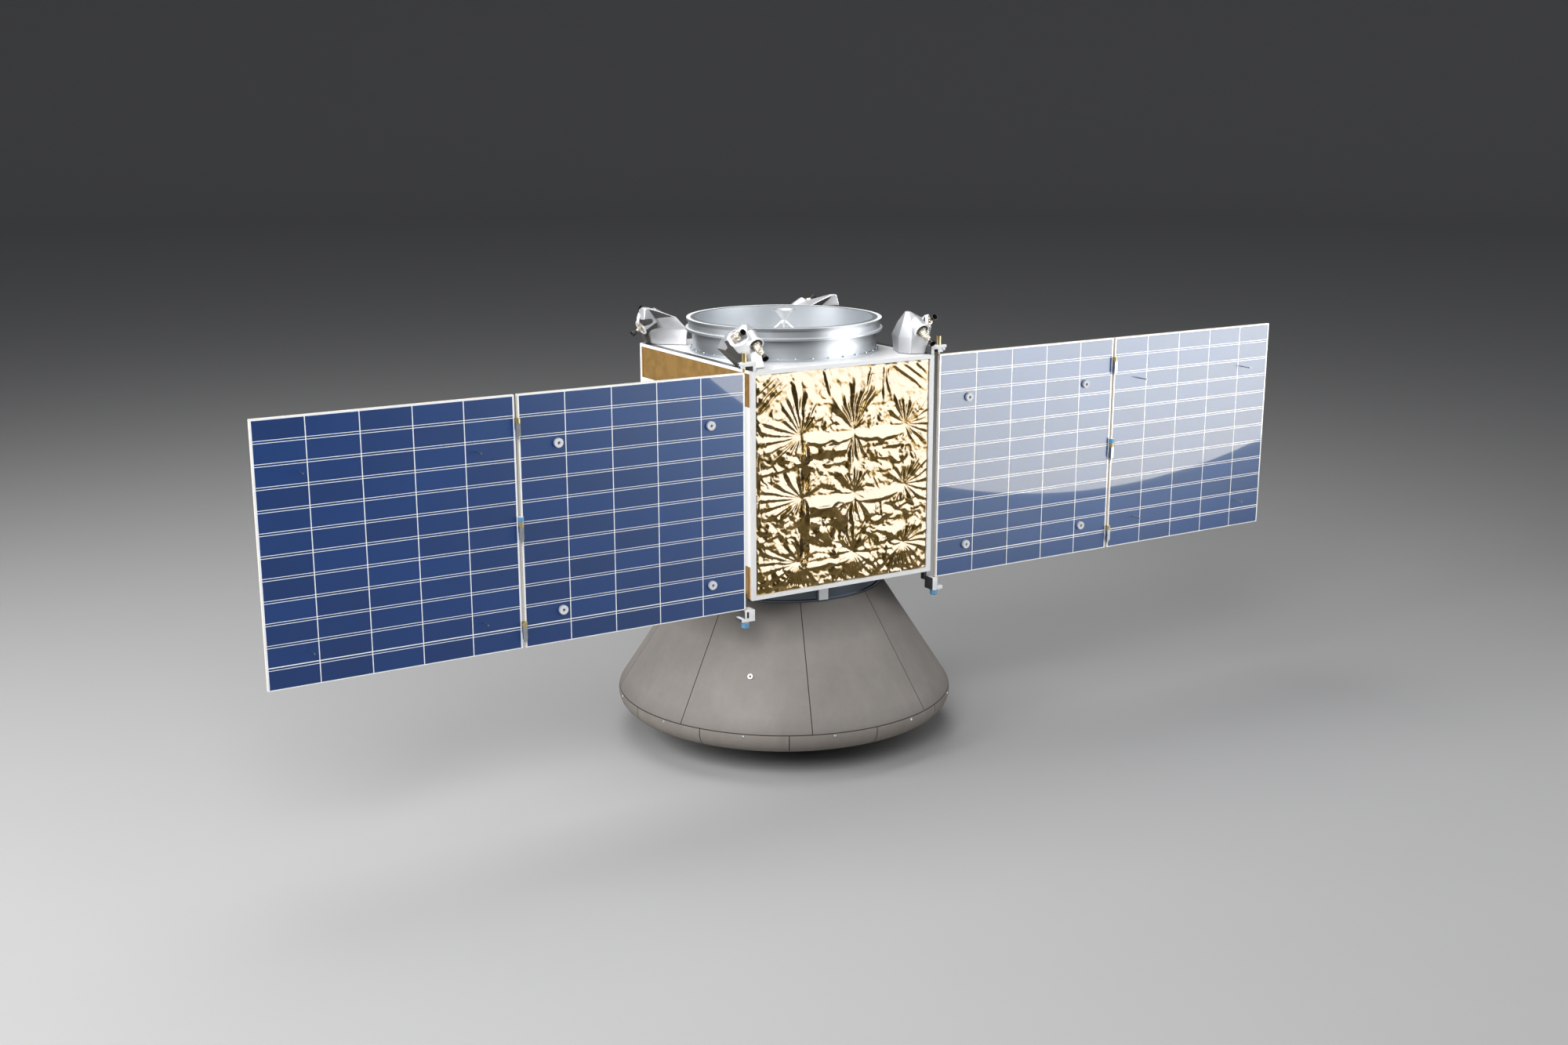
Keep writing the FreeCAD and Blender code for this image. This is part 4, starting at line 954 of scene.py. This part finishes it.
def jetLine(jet, end, sign):
    # a jet's mouth and the way it looks
    (inX, inY, up), (out, forward, rise) = jet[1:3]
    ahead = -1 if end == "front" else 1
    mouth = Vector((sign * (halfWide - inX), ahead * (halfDeep - inY), deckTop + up))
    return mouth, Vector((sign * out, ahead * forward, rise)).normalized()


def jetPair(end, side, sign):
    barrels, flares, nuts = Shape(), Shape(), Shape()
    big, neck, throat, wide = jets["barrel"], jets["neck"], jets["throat"], jets["mouth"]
    for jet in jets[end]:
        mouth, axis = jetLine(jet, end, sign)
        length = jet[-1] + jets["socket"]
        place = facing(mouth - axis * length, axis)
        bell = length - jets["flare"]
        cup = bell - jets["shoulder"]
        barrels.lathe([(0, 0), (big * 0.96, 0), (big, 0.001), (big, cup * 0.40), (big * 0.93, cup * 0.42),
                       (big * 0.93, cup * 0.47), (big, cup * 0.49), (big, cup * 0.80),
                       (big * 0.92, cup * 0.86), (neck * 1.12, cup * 0.88), (neck * 1.12, cup * 0.95),
                       (neck, cup * 0.97), (neck, cup + 0.004), (neck * 0.8, cup + 0.0055),
                       (throat * 1.2, cup + 0.006), (throat, bell), (0, bell)], place, 32)
        nuts.lathe([(0, cup * 0.885), (neck * 1.32, cup * 0.885), (neck * 1.32, cup * 0.955),
                    (0, cup * 0.955)], place, 6)
        nuts.slab((-0.0045, big * 0.80, cup * 0.10), (0.0045, big * 1.28, cup * 0.42), 0.0008, place)
        nuts.lathe([(0, 0), (0.0016, 0), (0.0016, 0.004), (0, 0.004)],
                   place @ Matrix.Translation((0, big * 1.05, cup * 0.42)), 10)
        curve = [(throat + (wide - 0.0006 - throat) * (step / 8) ** 0.62, bell + (length - bell) * step / 8)
                 for step in range(9)]
        inner = [(radius - 0.0007, height) for radius, height in reversed(curve)]
        flares.lathe([(throat * 0.6, bell - 0.0006)] + curve + [(wide, length - 0.0003)]
                     + [(wide - 0.0004, length)] + inner + [(0, bell + 0.0005)], place, 36)
    body = barrels.piece("%s_%s_barrels" % (end, side), "bus", "cream", "nozzle_metal")
    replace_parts(body, "%s_%s_jets" % (end, side))
    flares.piece("%s_%s_flares" % (end, side), "bus", "flare", "nozzle_metal", 50.0)
    nuts.piece("%s_%s_valves" % (end, side), "bus", "bright", "bare_metal", 20.0)


# housings with rounded edges: a flat diagonal face with a long trough for the high jet, and a white lip
# round the low one

housings = {
    "voxel": 0.0017, "passes": 6, "bore": 0.0166, "lip": 0.0206, "proud": 0.0022, "faces": (0.72, 0.68, 0.12),
    "front": (0.2844, 0.2514, 1.1105), "back": (0.2960, 0.2450, 1.1105),
    "under": (0.2776, 0.2610, 1.0615), "underFaces": (0.89, 0.169, -0.422),
    "long": 0.0215, "high": 0.0145, "rim": 0.0040, "deep": 0.0065, "tilt": 22.0, "steps": 48, "square": 0.8,
}


def softHousing(end, side, sign):
    node = "%s_%s_pod" % (end, side)
    ahead = -1 if end == "front" else 1
    mirror = Vector((sign, ahead, 1))
    middle = Vector(housings[end]) * mirror
    faces = (Vector(housings["faces"]) * mirror).normalized()
    mesh = bpy.data.meshes.new("shell")
    work = bmesh.new()
    work.from_mesh(nodes[node].data)
    bmesh.ops.remove_doubles(work, verts=work.verts, dist=1e-5)
    under, underFaces = Vector(housings["under"]) * mirror, Vector(housings["underFaces"]) * mirror
    for start, normal in ((middle, faces), (under, underFaces)):
        sliced = bmesh.ops.bisect_plane(work, geom=work.verts[:] + work.edges[:] + work.faces[:],
                                        plane_co=start, plane_no=normal, clear_outer=True)
        rim = [item for item in sliced["geom_cut"] if isinstance(item, bmesh.types.BMEdge)]
        bmesh.ops.holes_fill(work, edges=rim)
    work.to_mesh(mesh)
    work.free()
    holder = bpy.data.objects.new("holder", mesh)
    scene.collection.objects.link(holder)
    remesh = holder.modifiers.new("voxels", "REMESH")
    remesh.mode, remesh.voxel_size = "VOXEL", housings["voxel"]
    soften = holder.modifiers.new("soften", "SMOOTH")
    soften.factor, soften.iterations = 0.5, housings["passes"]
    graph = bpy.context.evaluated_depsgraph_get()
    mesh = bpy.data.meshes.new_from_object(holder.evaluated_get(graph))
    bpy.data.objects.remove(holder)
    mesh.name = "housing"
    mesh.materials.clear()
    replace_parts(dress(mesh, "%s_%s_housing" % (end, side), "bus", "shroud", 180.0), node)

    lips, tray = Shape(), Shape()
    level = Vector((-faces.y, faces.x, 0)).normalized()
    place = Matrix.Translation(middle) @ Matrix((level, faces.cross(level), faces)).transposed().to_4x4()
    place = place @ Matrix.Rotation(math.radians(housings["tilt"] * sign * ahead), 4, "Z")
    wide, tall, edge, deep = housings["long"], housings["high"], housings["rim"], housings["deep"]
    lipLine = ((edge, -deep), (edge, -0.0004), (edge * 0.75, 0.0006), (edge * 0.3, 0.0006), (0.0, -0.0004),
               (0.0, -deep), (edge, -deep))
    trayLine = ((0.0, -0.0010), (-0.0005, -0.0035), (-0.0040, -deep), (-0.0135, -deep - 0.001))
    count, square = housings["steps"], housings["square"]
    turns = [2 * math.pi * step / count for step in range(count)]
    for shape, outline in ((lips, lipLine), (tray, trayLine)):
        points = [(math.copysign(abs(math.cos(turn)) ** square, math.cos(turn)) * (wide + out),
                   math.copysign(abs(math.sin(turn)) ** square, math.sin(turn)) * (tall + out), height)
                  for out, height in outline for turn in turns]
        skin = [(row * count + step, row * count + (step + 1) % count,
                 (row + 1) * count + (step + 1) % count, (row + 1) * count + step)
                for row in range(len(outline) - 1) for step in range(count)]
        if shape is tray:
            skin.append(tuple((len(outline) - 1) * count + step for step in range(count)))
        shape.add(points, skin, place)
    bore, lip, proud = housings["bore"], housings["lip"], housings["proud"]
    low = jets[end][1]
    mouth, axis = jetLine(low, end, sign)
    lips.lathe([(bore, -0.004), (lip, -0.004), (lip, -0.0006), (lip - 0.0010, 0.0004),
                (bore + 0.0012, 0.0004), (bore, -0.0006), (bore, -0.004)],
               facing(mouth - axis * (low[-1] - proud), axis), 40)
    lips.piece("%s_%s_socket_lips" % (end, side), "bus", "white", "silver_foil", 40.0)
    tray.piece("%s_%s_trough" % (end, side), "bus", "cup", "silver_foil", 60.0)


for end, side, sign in podPlaces:
    jetPair(end, side, sign)
    softHousing(end, side, sign)
print("thrusters dressed")

# main thruster: a thin flared bell on a short chamber, held by splayed legs

bell = {"mouth": 0.0285, "throat": 0.0060, "foot": 1.1105, "wall": 0.0010, "chamber": 0.0085, "low": 1.0990,
        "legs": 3, "turn": 58.0, "knee": (0.034, 1.0860), "spread": 0.050, "head": (0.006, 1.1070),
        "thick": 0.0024, "pad": 0.0056, "rings": 14}

bellTop = levels["main_thruster"][1].z
shell, mount = Shape(), Shape()
flareLine = [(bell["throat"] + (bell["mouth"] - bell["throat"]) * (step / bell["rings"]) ** 1.2,
              bell["foot"] + (bellTop - bell["foot"]) * step / bell["rings"])
             for step in range(bell["rings"] + 1)]
shell.lathe([(0, bell["low"]), (bell["chamber"], bell["low"]), (bell["chamber"], bell["foot"] - 0.006),
             (bell["throat"] * 1.25, bell["foot"] - 0.001)] + flareLine[:-1]
            + [(bell["mouth"] - 0.0002, bellTop - 0.0018), (bell["mouth"] + 0.0012, bellTop - 0.0014),
               (bell["mouth"] + 0.0012, bellTop - 0.0003), (bell["mouth"], bellTop)]
            + [(radius - bell["wall"], height) for radius, height in reversed(flareLine)]
            + [(0, bell["foot"] + 0.001)], steps=48)
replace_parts(shell.piece("main_bell", "bus", "bell", "nozzle_metal", 40.0), "main_thruster")
for index in range(bell["legs"]):
    angle = math.radians(bell["turn"] + index * 360.0 / bell["legs"])
    across = Vector((math.cos(angle), math.sin(angle), 0))
    foot, knee, head = [across * out + Vector((0, 0, height)) for out, height in
                        ((bell["spread"], deckTop + 0.001), bell["knee"], bell["head"])]
    for start, stop in ((foot, knee), (knee, head)):
        long = (stop - start).length
        mount.lathe([(0, -0.001), (bell["thick"], 0), (bell["thick"], long), (0, long + 0.001)],
                    facing(start, stop - start), 12)
    mount.lathe([(0, -0.001), (bell["pad"], -0.001), (bell["pad"], 0.0008), (bell["pad"] * 0.8, 0.0016),
                 (0, 0.0016)], Matrix.Translation(foot), 20)
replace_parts(mount.piece("bell_mount", "bus", "white", "white_paint", 40.0), "thruster_mount")
print("main thruster dressed")

# hinge brackets at the wings' roots: a stepped nose on the upper ones, and an L below with its arm up the
# bus's side

roots = {
    # slabs by two corners: across, forward, up
    "upper": (((0.2606, 0.2949, 1.0475), (0.2985, 0.2769, 1.0575)),
              ((0.2606, 0.2949, 1.0345), (0.2696, 0.2769, 1.0480)),
              ((0.2980, 0.2949, 1.0500), (0.3085, 0.2859, 1.0575)),
              ((0.2935, 0.2949, 1.0430), (0.3045, 0.2859, 1.0502))),
    "left": (((0.2895, 0.2948, 0.4170), (0.2954, 0.2641, 0.4345)),
             ((0.2666, 0.2948, 0.4170), (0.2840, 0.2641, 0.4345)),
             ((0.2665, 0.2949, 0.4090), (0.3050, 0.2640, 0.4175)),
             ((0.2665, 0.2949, 0.4340), (0.2955, 0.2640, 0.4380))),
    "right": (((0.2795, 0.2949, 0.4060), (0.2955, 0.2590, 0.4395)),
              ((0.2955, 0.2949, 0.4060), (0.3120, 0.2600, 0.4160)),
              ((0.2815, 0.2949, 1.0390), (0.2975, 0.2769, 1.0480))),
    "slot": ((0.2836, 0.2860, 0.4172), (0.2899, 0.2660, 0.4343)),
    "arm": ((0.2724, 0.2645, 0.4300), (0.2815, 0.2510, 0.4720)),
    "bevel": 0.0007, "armBevel": 0.0004, "pin": (0.2895, -0.2859),
    "cap": 0.0099, "capFoot": 0.3925, "capTop": 0.4062, "capBevel": 0.0012,
}


def sideSlab(shape, side, corners, bevel):
    (inX, inY, foot), (outX, outY, top) = corners
    left, right = sorted((side * inX, side * outX))
    front, back = sorted((-inY, -outY))
    shape.slab((left, front, foot), (right, back, top), bevel)


for side, sign in sides:
    lugs, shadedDark, cap = Shape(), Shape(), Shape()
    for corners in roots["upper"] + roots[side]:
        sideSlab(lugs, sign, corners, roots["bevel"])
    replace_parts(lugs.piece("%s_root_lugs" % side, "bus", "bracket", "hinge_metal", 30.0),
                "%s_root_brackets" % side)
    # the arm, and on the left a block filling the slot, in a dark finish: painted shade where they lie in
    # shadow
    for corners in (roots["arm"],) + ((roots["slot"],) if side == "left" else ()):
        sideSlab(shadedDark, sign, corners, roots["armBevel"])
    shadedDark.piece("%s_root_arm" % side, "bus", "graphite", "hinge_metal")
    wide, foot, top, bevel = roots["cap"], roots["capFoot"], roots["capTop"], roots["capBevel"]
    cap.lathe([(0, foot), (wide - bevel, foot), (wide, foot + bevel), (wide, top), (0, top)],
              Matrix.Translation((sign * roots["pin"][0], roots["pin"][1], 0)), 40)
    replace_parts(cap.piece("%s_root_cap" % side, "%s_inner_wing" % side, "blue", "blue_cap", 30.0),
                "%s_root_button" % side)
print("root brackets dressed")

# square knuckles at the middle hinges, with narrow leaves

knuckles = {
    "pin": (0.88405, -0.2969), "half": 0.0052, "front": 0.0052, "cut": 0.0010, "back": 0.0060,
    "leaf": (0.0050, 0.0060), "behind": (0.0003, 0.0060), "tall": 0.0360, "feet": (0.4579, 0.6939, 0.9329),
    "gap": 0.0003, "stub": 0.0064, "stubHalf": 0.0030, "bevel": 0.0004,
}


def knuckleSet(side, sign, part):
    # own is +1 towards the panel that the leaves sit on
    own = -sign if part == "inner" else sign
    shape = Shape()
    middleX, middleY = sign * knuckles["pin"][0], knuckles["pin"][1]
    half, front, cut, back = knuckles["half"], knuckles["front"], knuckles["cut"], knuckles["back"]
    section = ((-half, -front + cut), (-half + cut, -front), (half - cut, -front), (half, -front + cut),
               (half, back), (-0.0010, back), (-half, 0.0036))
    (leafNear, leafFar), (near, far), bevel = knuckles["leaf"], knuckles["behind"], knuckles["bevel"]
    for foot in knuckles["feet"]:
        top, stub, gap = foot + knuckles["tall"], foot + knuckles["stub"], knuckles["gap"]
        middle = (top + stub) / 2
        low, high = (stub, middle - gap) if part == "inner" else (middle + gap, top)
        points = [(middleX + own * u, middleY + v, z) for z in (low, high) for u, v in section]
        count = len(section)
        skin = [tuple(range(count)), tuple(range(count, 2 * count))]
        skin += [(index, (index + 1) % count, count + (index + 1) % count, count + index)
                 for index in range(count)]
        shape.add(points, skin)
        left, right = sorted((middleX + own * leafNear, middleX + own * leafFar))
        shape.slab((left, middleY + near, low), (right, middleY + far, high), bevel)
        if part == "inner":
            stubHalf = knuckles["stubHalf"]
            shape.slab((middleX - stubHalf, middleY - stubHalf, foot),
                       (middleX + stubHalf, middleY + stubHalf, stub + 0.0004), 0.0008)
            left, right = sorted((middleX + own * stubHalf, middleX + own * leafFar))
            shape.slab((left, middleY + 0.0040, foot), (right, middleY + far, stub + 0.0004), bevel)
    piece = shape.piece("%s_%s_knuckles" % (side, part), "%s_%s_wing" % (side, part), "hinge", "hinge_metal",
                        25.0)
    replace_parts(piece, "%s_%s_leaves" % (side, part))


for side, sign, part in wings:
    knuckleSet(side, sign, part)
print("hinges dressed")

# plugs and bolts

plugs = {"count": 12, "turn": -165.0, "circle": 0.4493, "level": 0.120, "rise": 0.12, "radius": 0.0034}
bolts = {"count": 34, "turn": -125.7, "circle": 0.2430, "level": 0.006, "radius": 0.0022, "tall": 0.0028}


def roundTheAxis(count, first):
    # unit vectors outward, evenly spaced
    turns = [math.radians(first + index * 360.0 / count) for index in range(count)]
    return [(math.cos(turn), math.sin(turn)) for turn in turns]


buttons, radius = Shape(), plugs["radius"]
for x, y in roundTheAxis(plugs["count"], plugs["turn"]):
    place = Vector((plugs["circle"] * x, plugs["circle"] * y, plugs["level"]))
    buttons.lathe([(0.0, -0.002), (radius, -0.002), (radius, 0.0006), (radius * 0.8, 0.0014),
                   (radius * 0.35, 0.0014), (0.0, 0.0006)], facing(place, Vector((x, y, plugs["rise"]))), 20)
buttons.piece("shoulder_plugs", "bus", "screw", "bare_metal")

heads, radius, tall = Shape(), bolts["radius"], bolts["tall"]
for x, y in roundTheAxis(bolts["count"], bolts["turn"]):
    place = Vector((bolts["circle"] * x, bolts["circle"] * y, deckTop + bolts["level"]))
    heads.lathe([(0.0, 0.0), (radius, 0.0), (radius, tall * 0.7), (radius * 0.82, tall),
                 (radius * 0.45, tall), (radius * 0.45, tall * 0.45), (0.0, tall * 0.45)],
                Matrix.Translation(place), 12)
heads.piece("launch_ring_bolts", "bus", "screw", "bare_metal")
print("plugs and bolts set")

# a dark plug in the port, as painted shade inside it, and dark strips along the deck's two side edges

port = {"turn": -135.0, "slope": 33.0, "bore": 0.0028, "long": 0.004, "length": 0.025, "sunk": 0.0008}
strips = {"in": 0.0015, "wide": 0.0160, "thick": 0.0010, "short": 0.012, "bevel": 0.0003}

portLow, portHigh = levels["port_sleeve"]
turn, slope = math.radians(port["turn"]), math.radians(port["slope"])
outward = Vector((math.cos(turn) * math.cos(slope), math.sin(turn) * math.cos(slope), math.sin(slope)))
stopper = Shape()
stopper.lathe([(0.0, -port["long"]), (port["bore"], -port["long"]), (port["bore"], 0.0), (0.0, 0.0)],
              facing((portLow + portHigh) / 2 + outward * (port["length"] / 2 - port["sunk"]), outward), 20)
# painted shade: the port's inside is filled dark
stopper.piece("port_plug", "bus", "dark", "thermal_panels")
edging = Shape()
for side, sign in sides:
    outer, inner = halfWide - strips["in"], halfWide - strips["in"] - strips["wide"]
    edging.slab((min(sign * outer, sign * inner), strips["short"] - halfDeep, deckTop),
                (max(sign * outer, sign * inner), halfDeep - strips["short"], deckTop + strips["thick"]),
                strips["bevel"])
edging.piece("deck_edging", "bus", "graphite", "bare_metal")
print("port and deck trimmed")
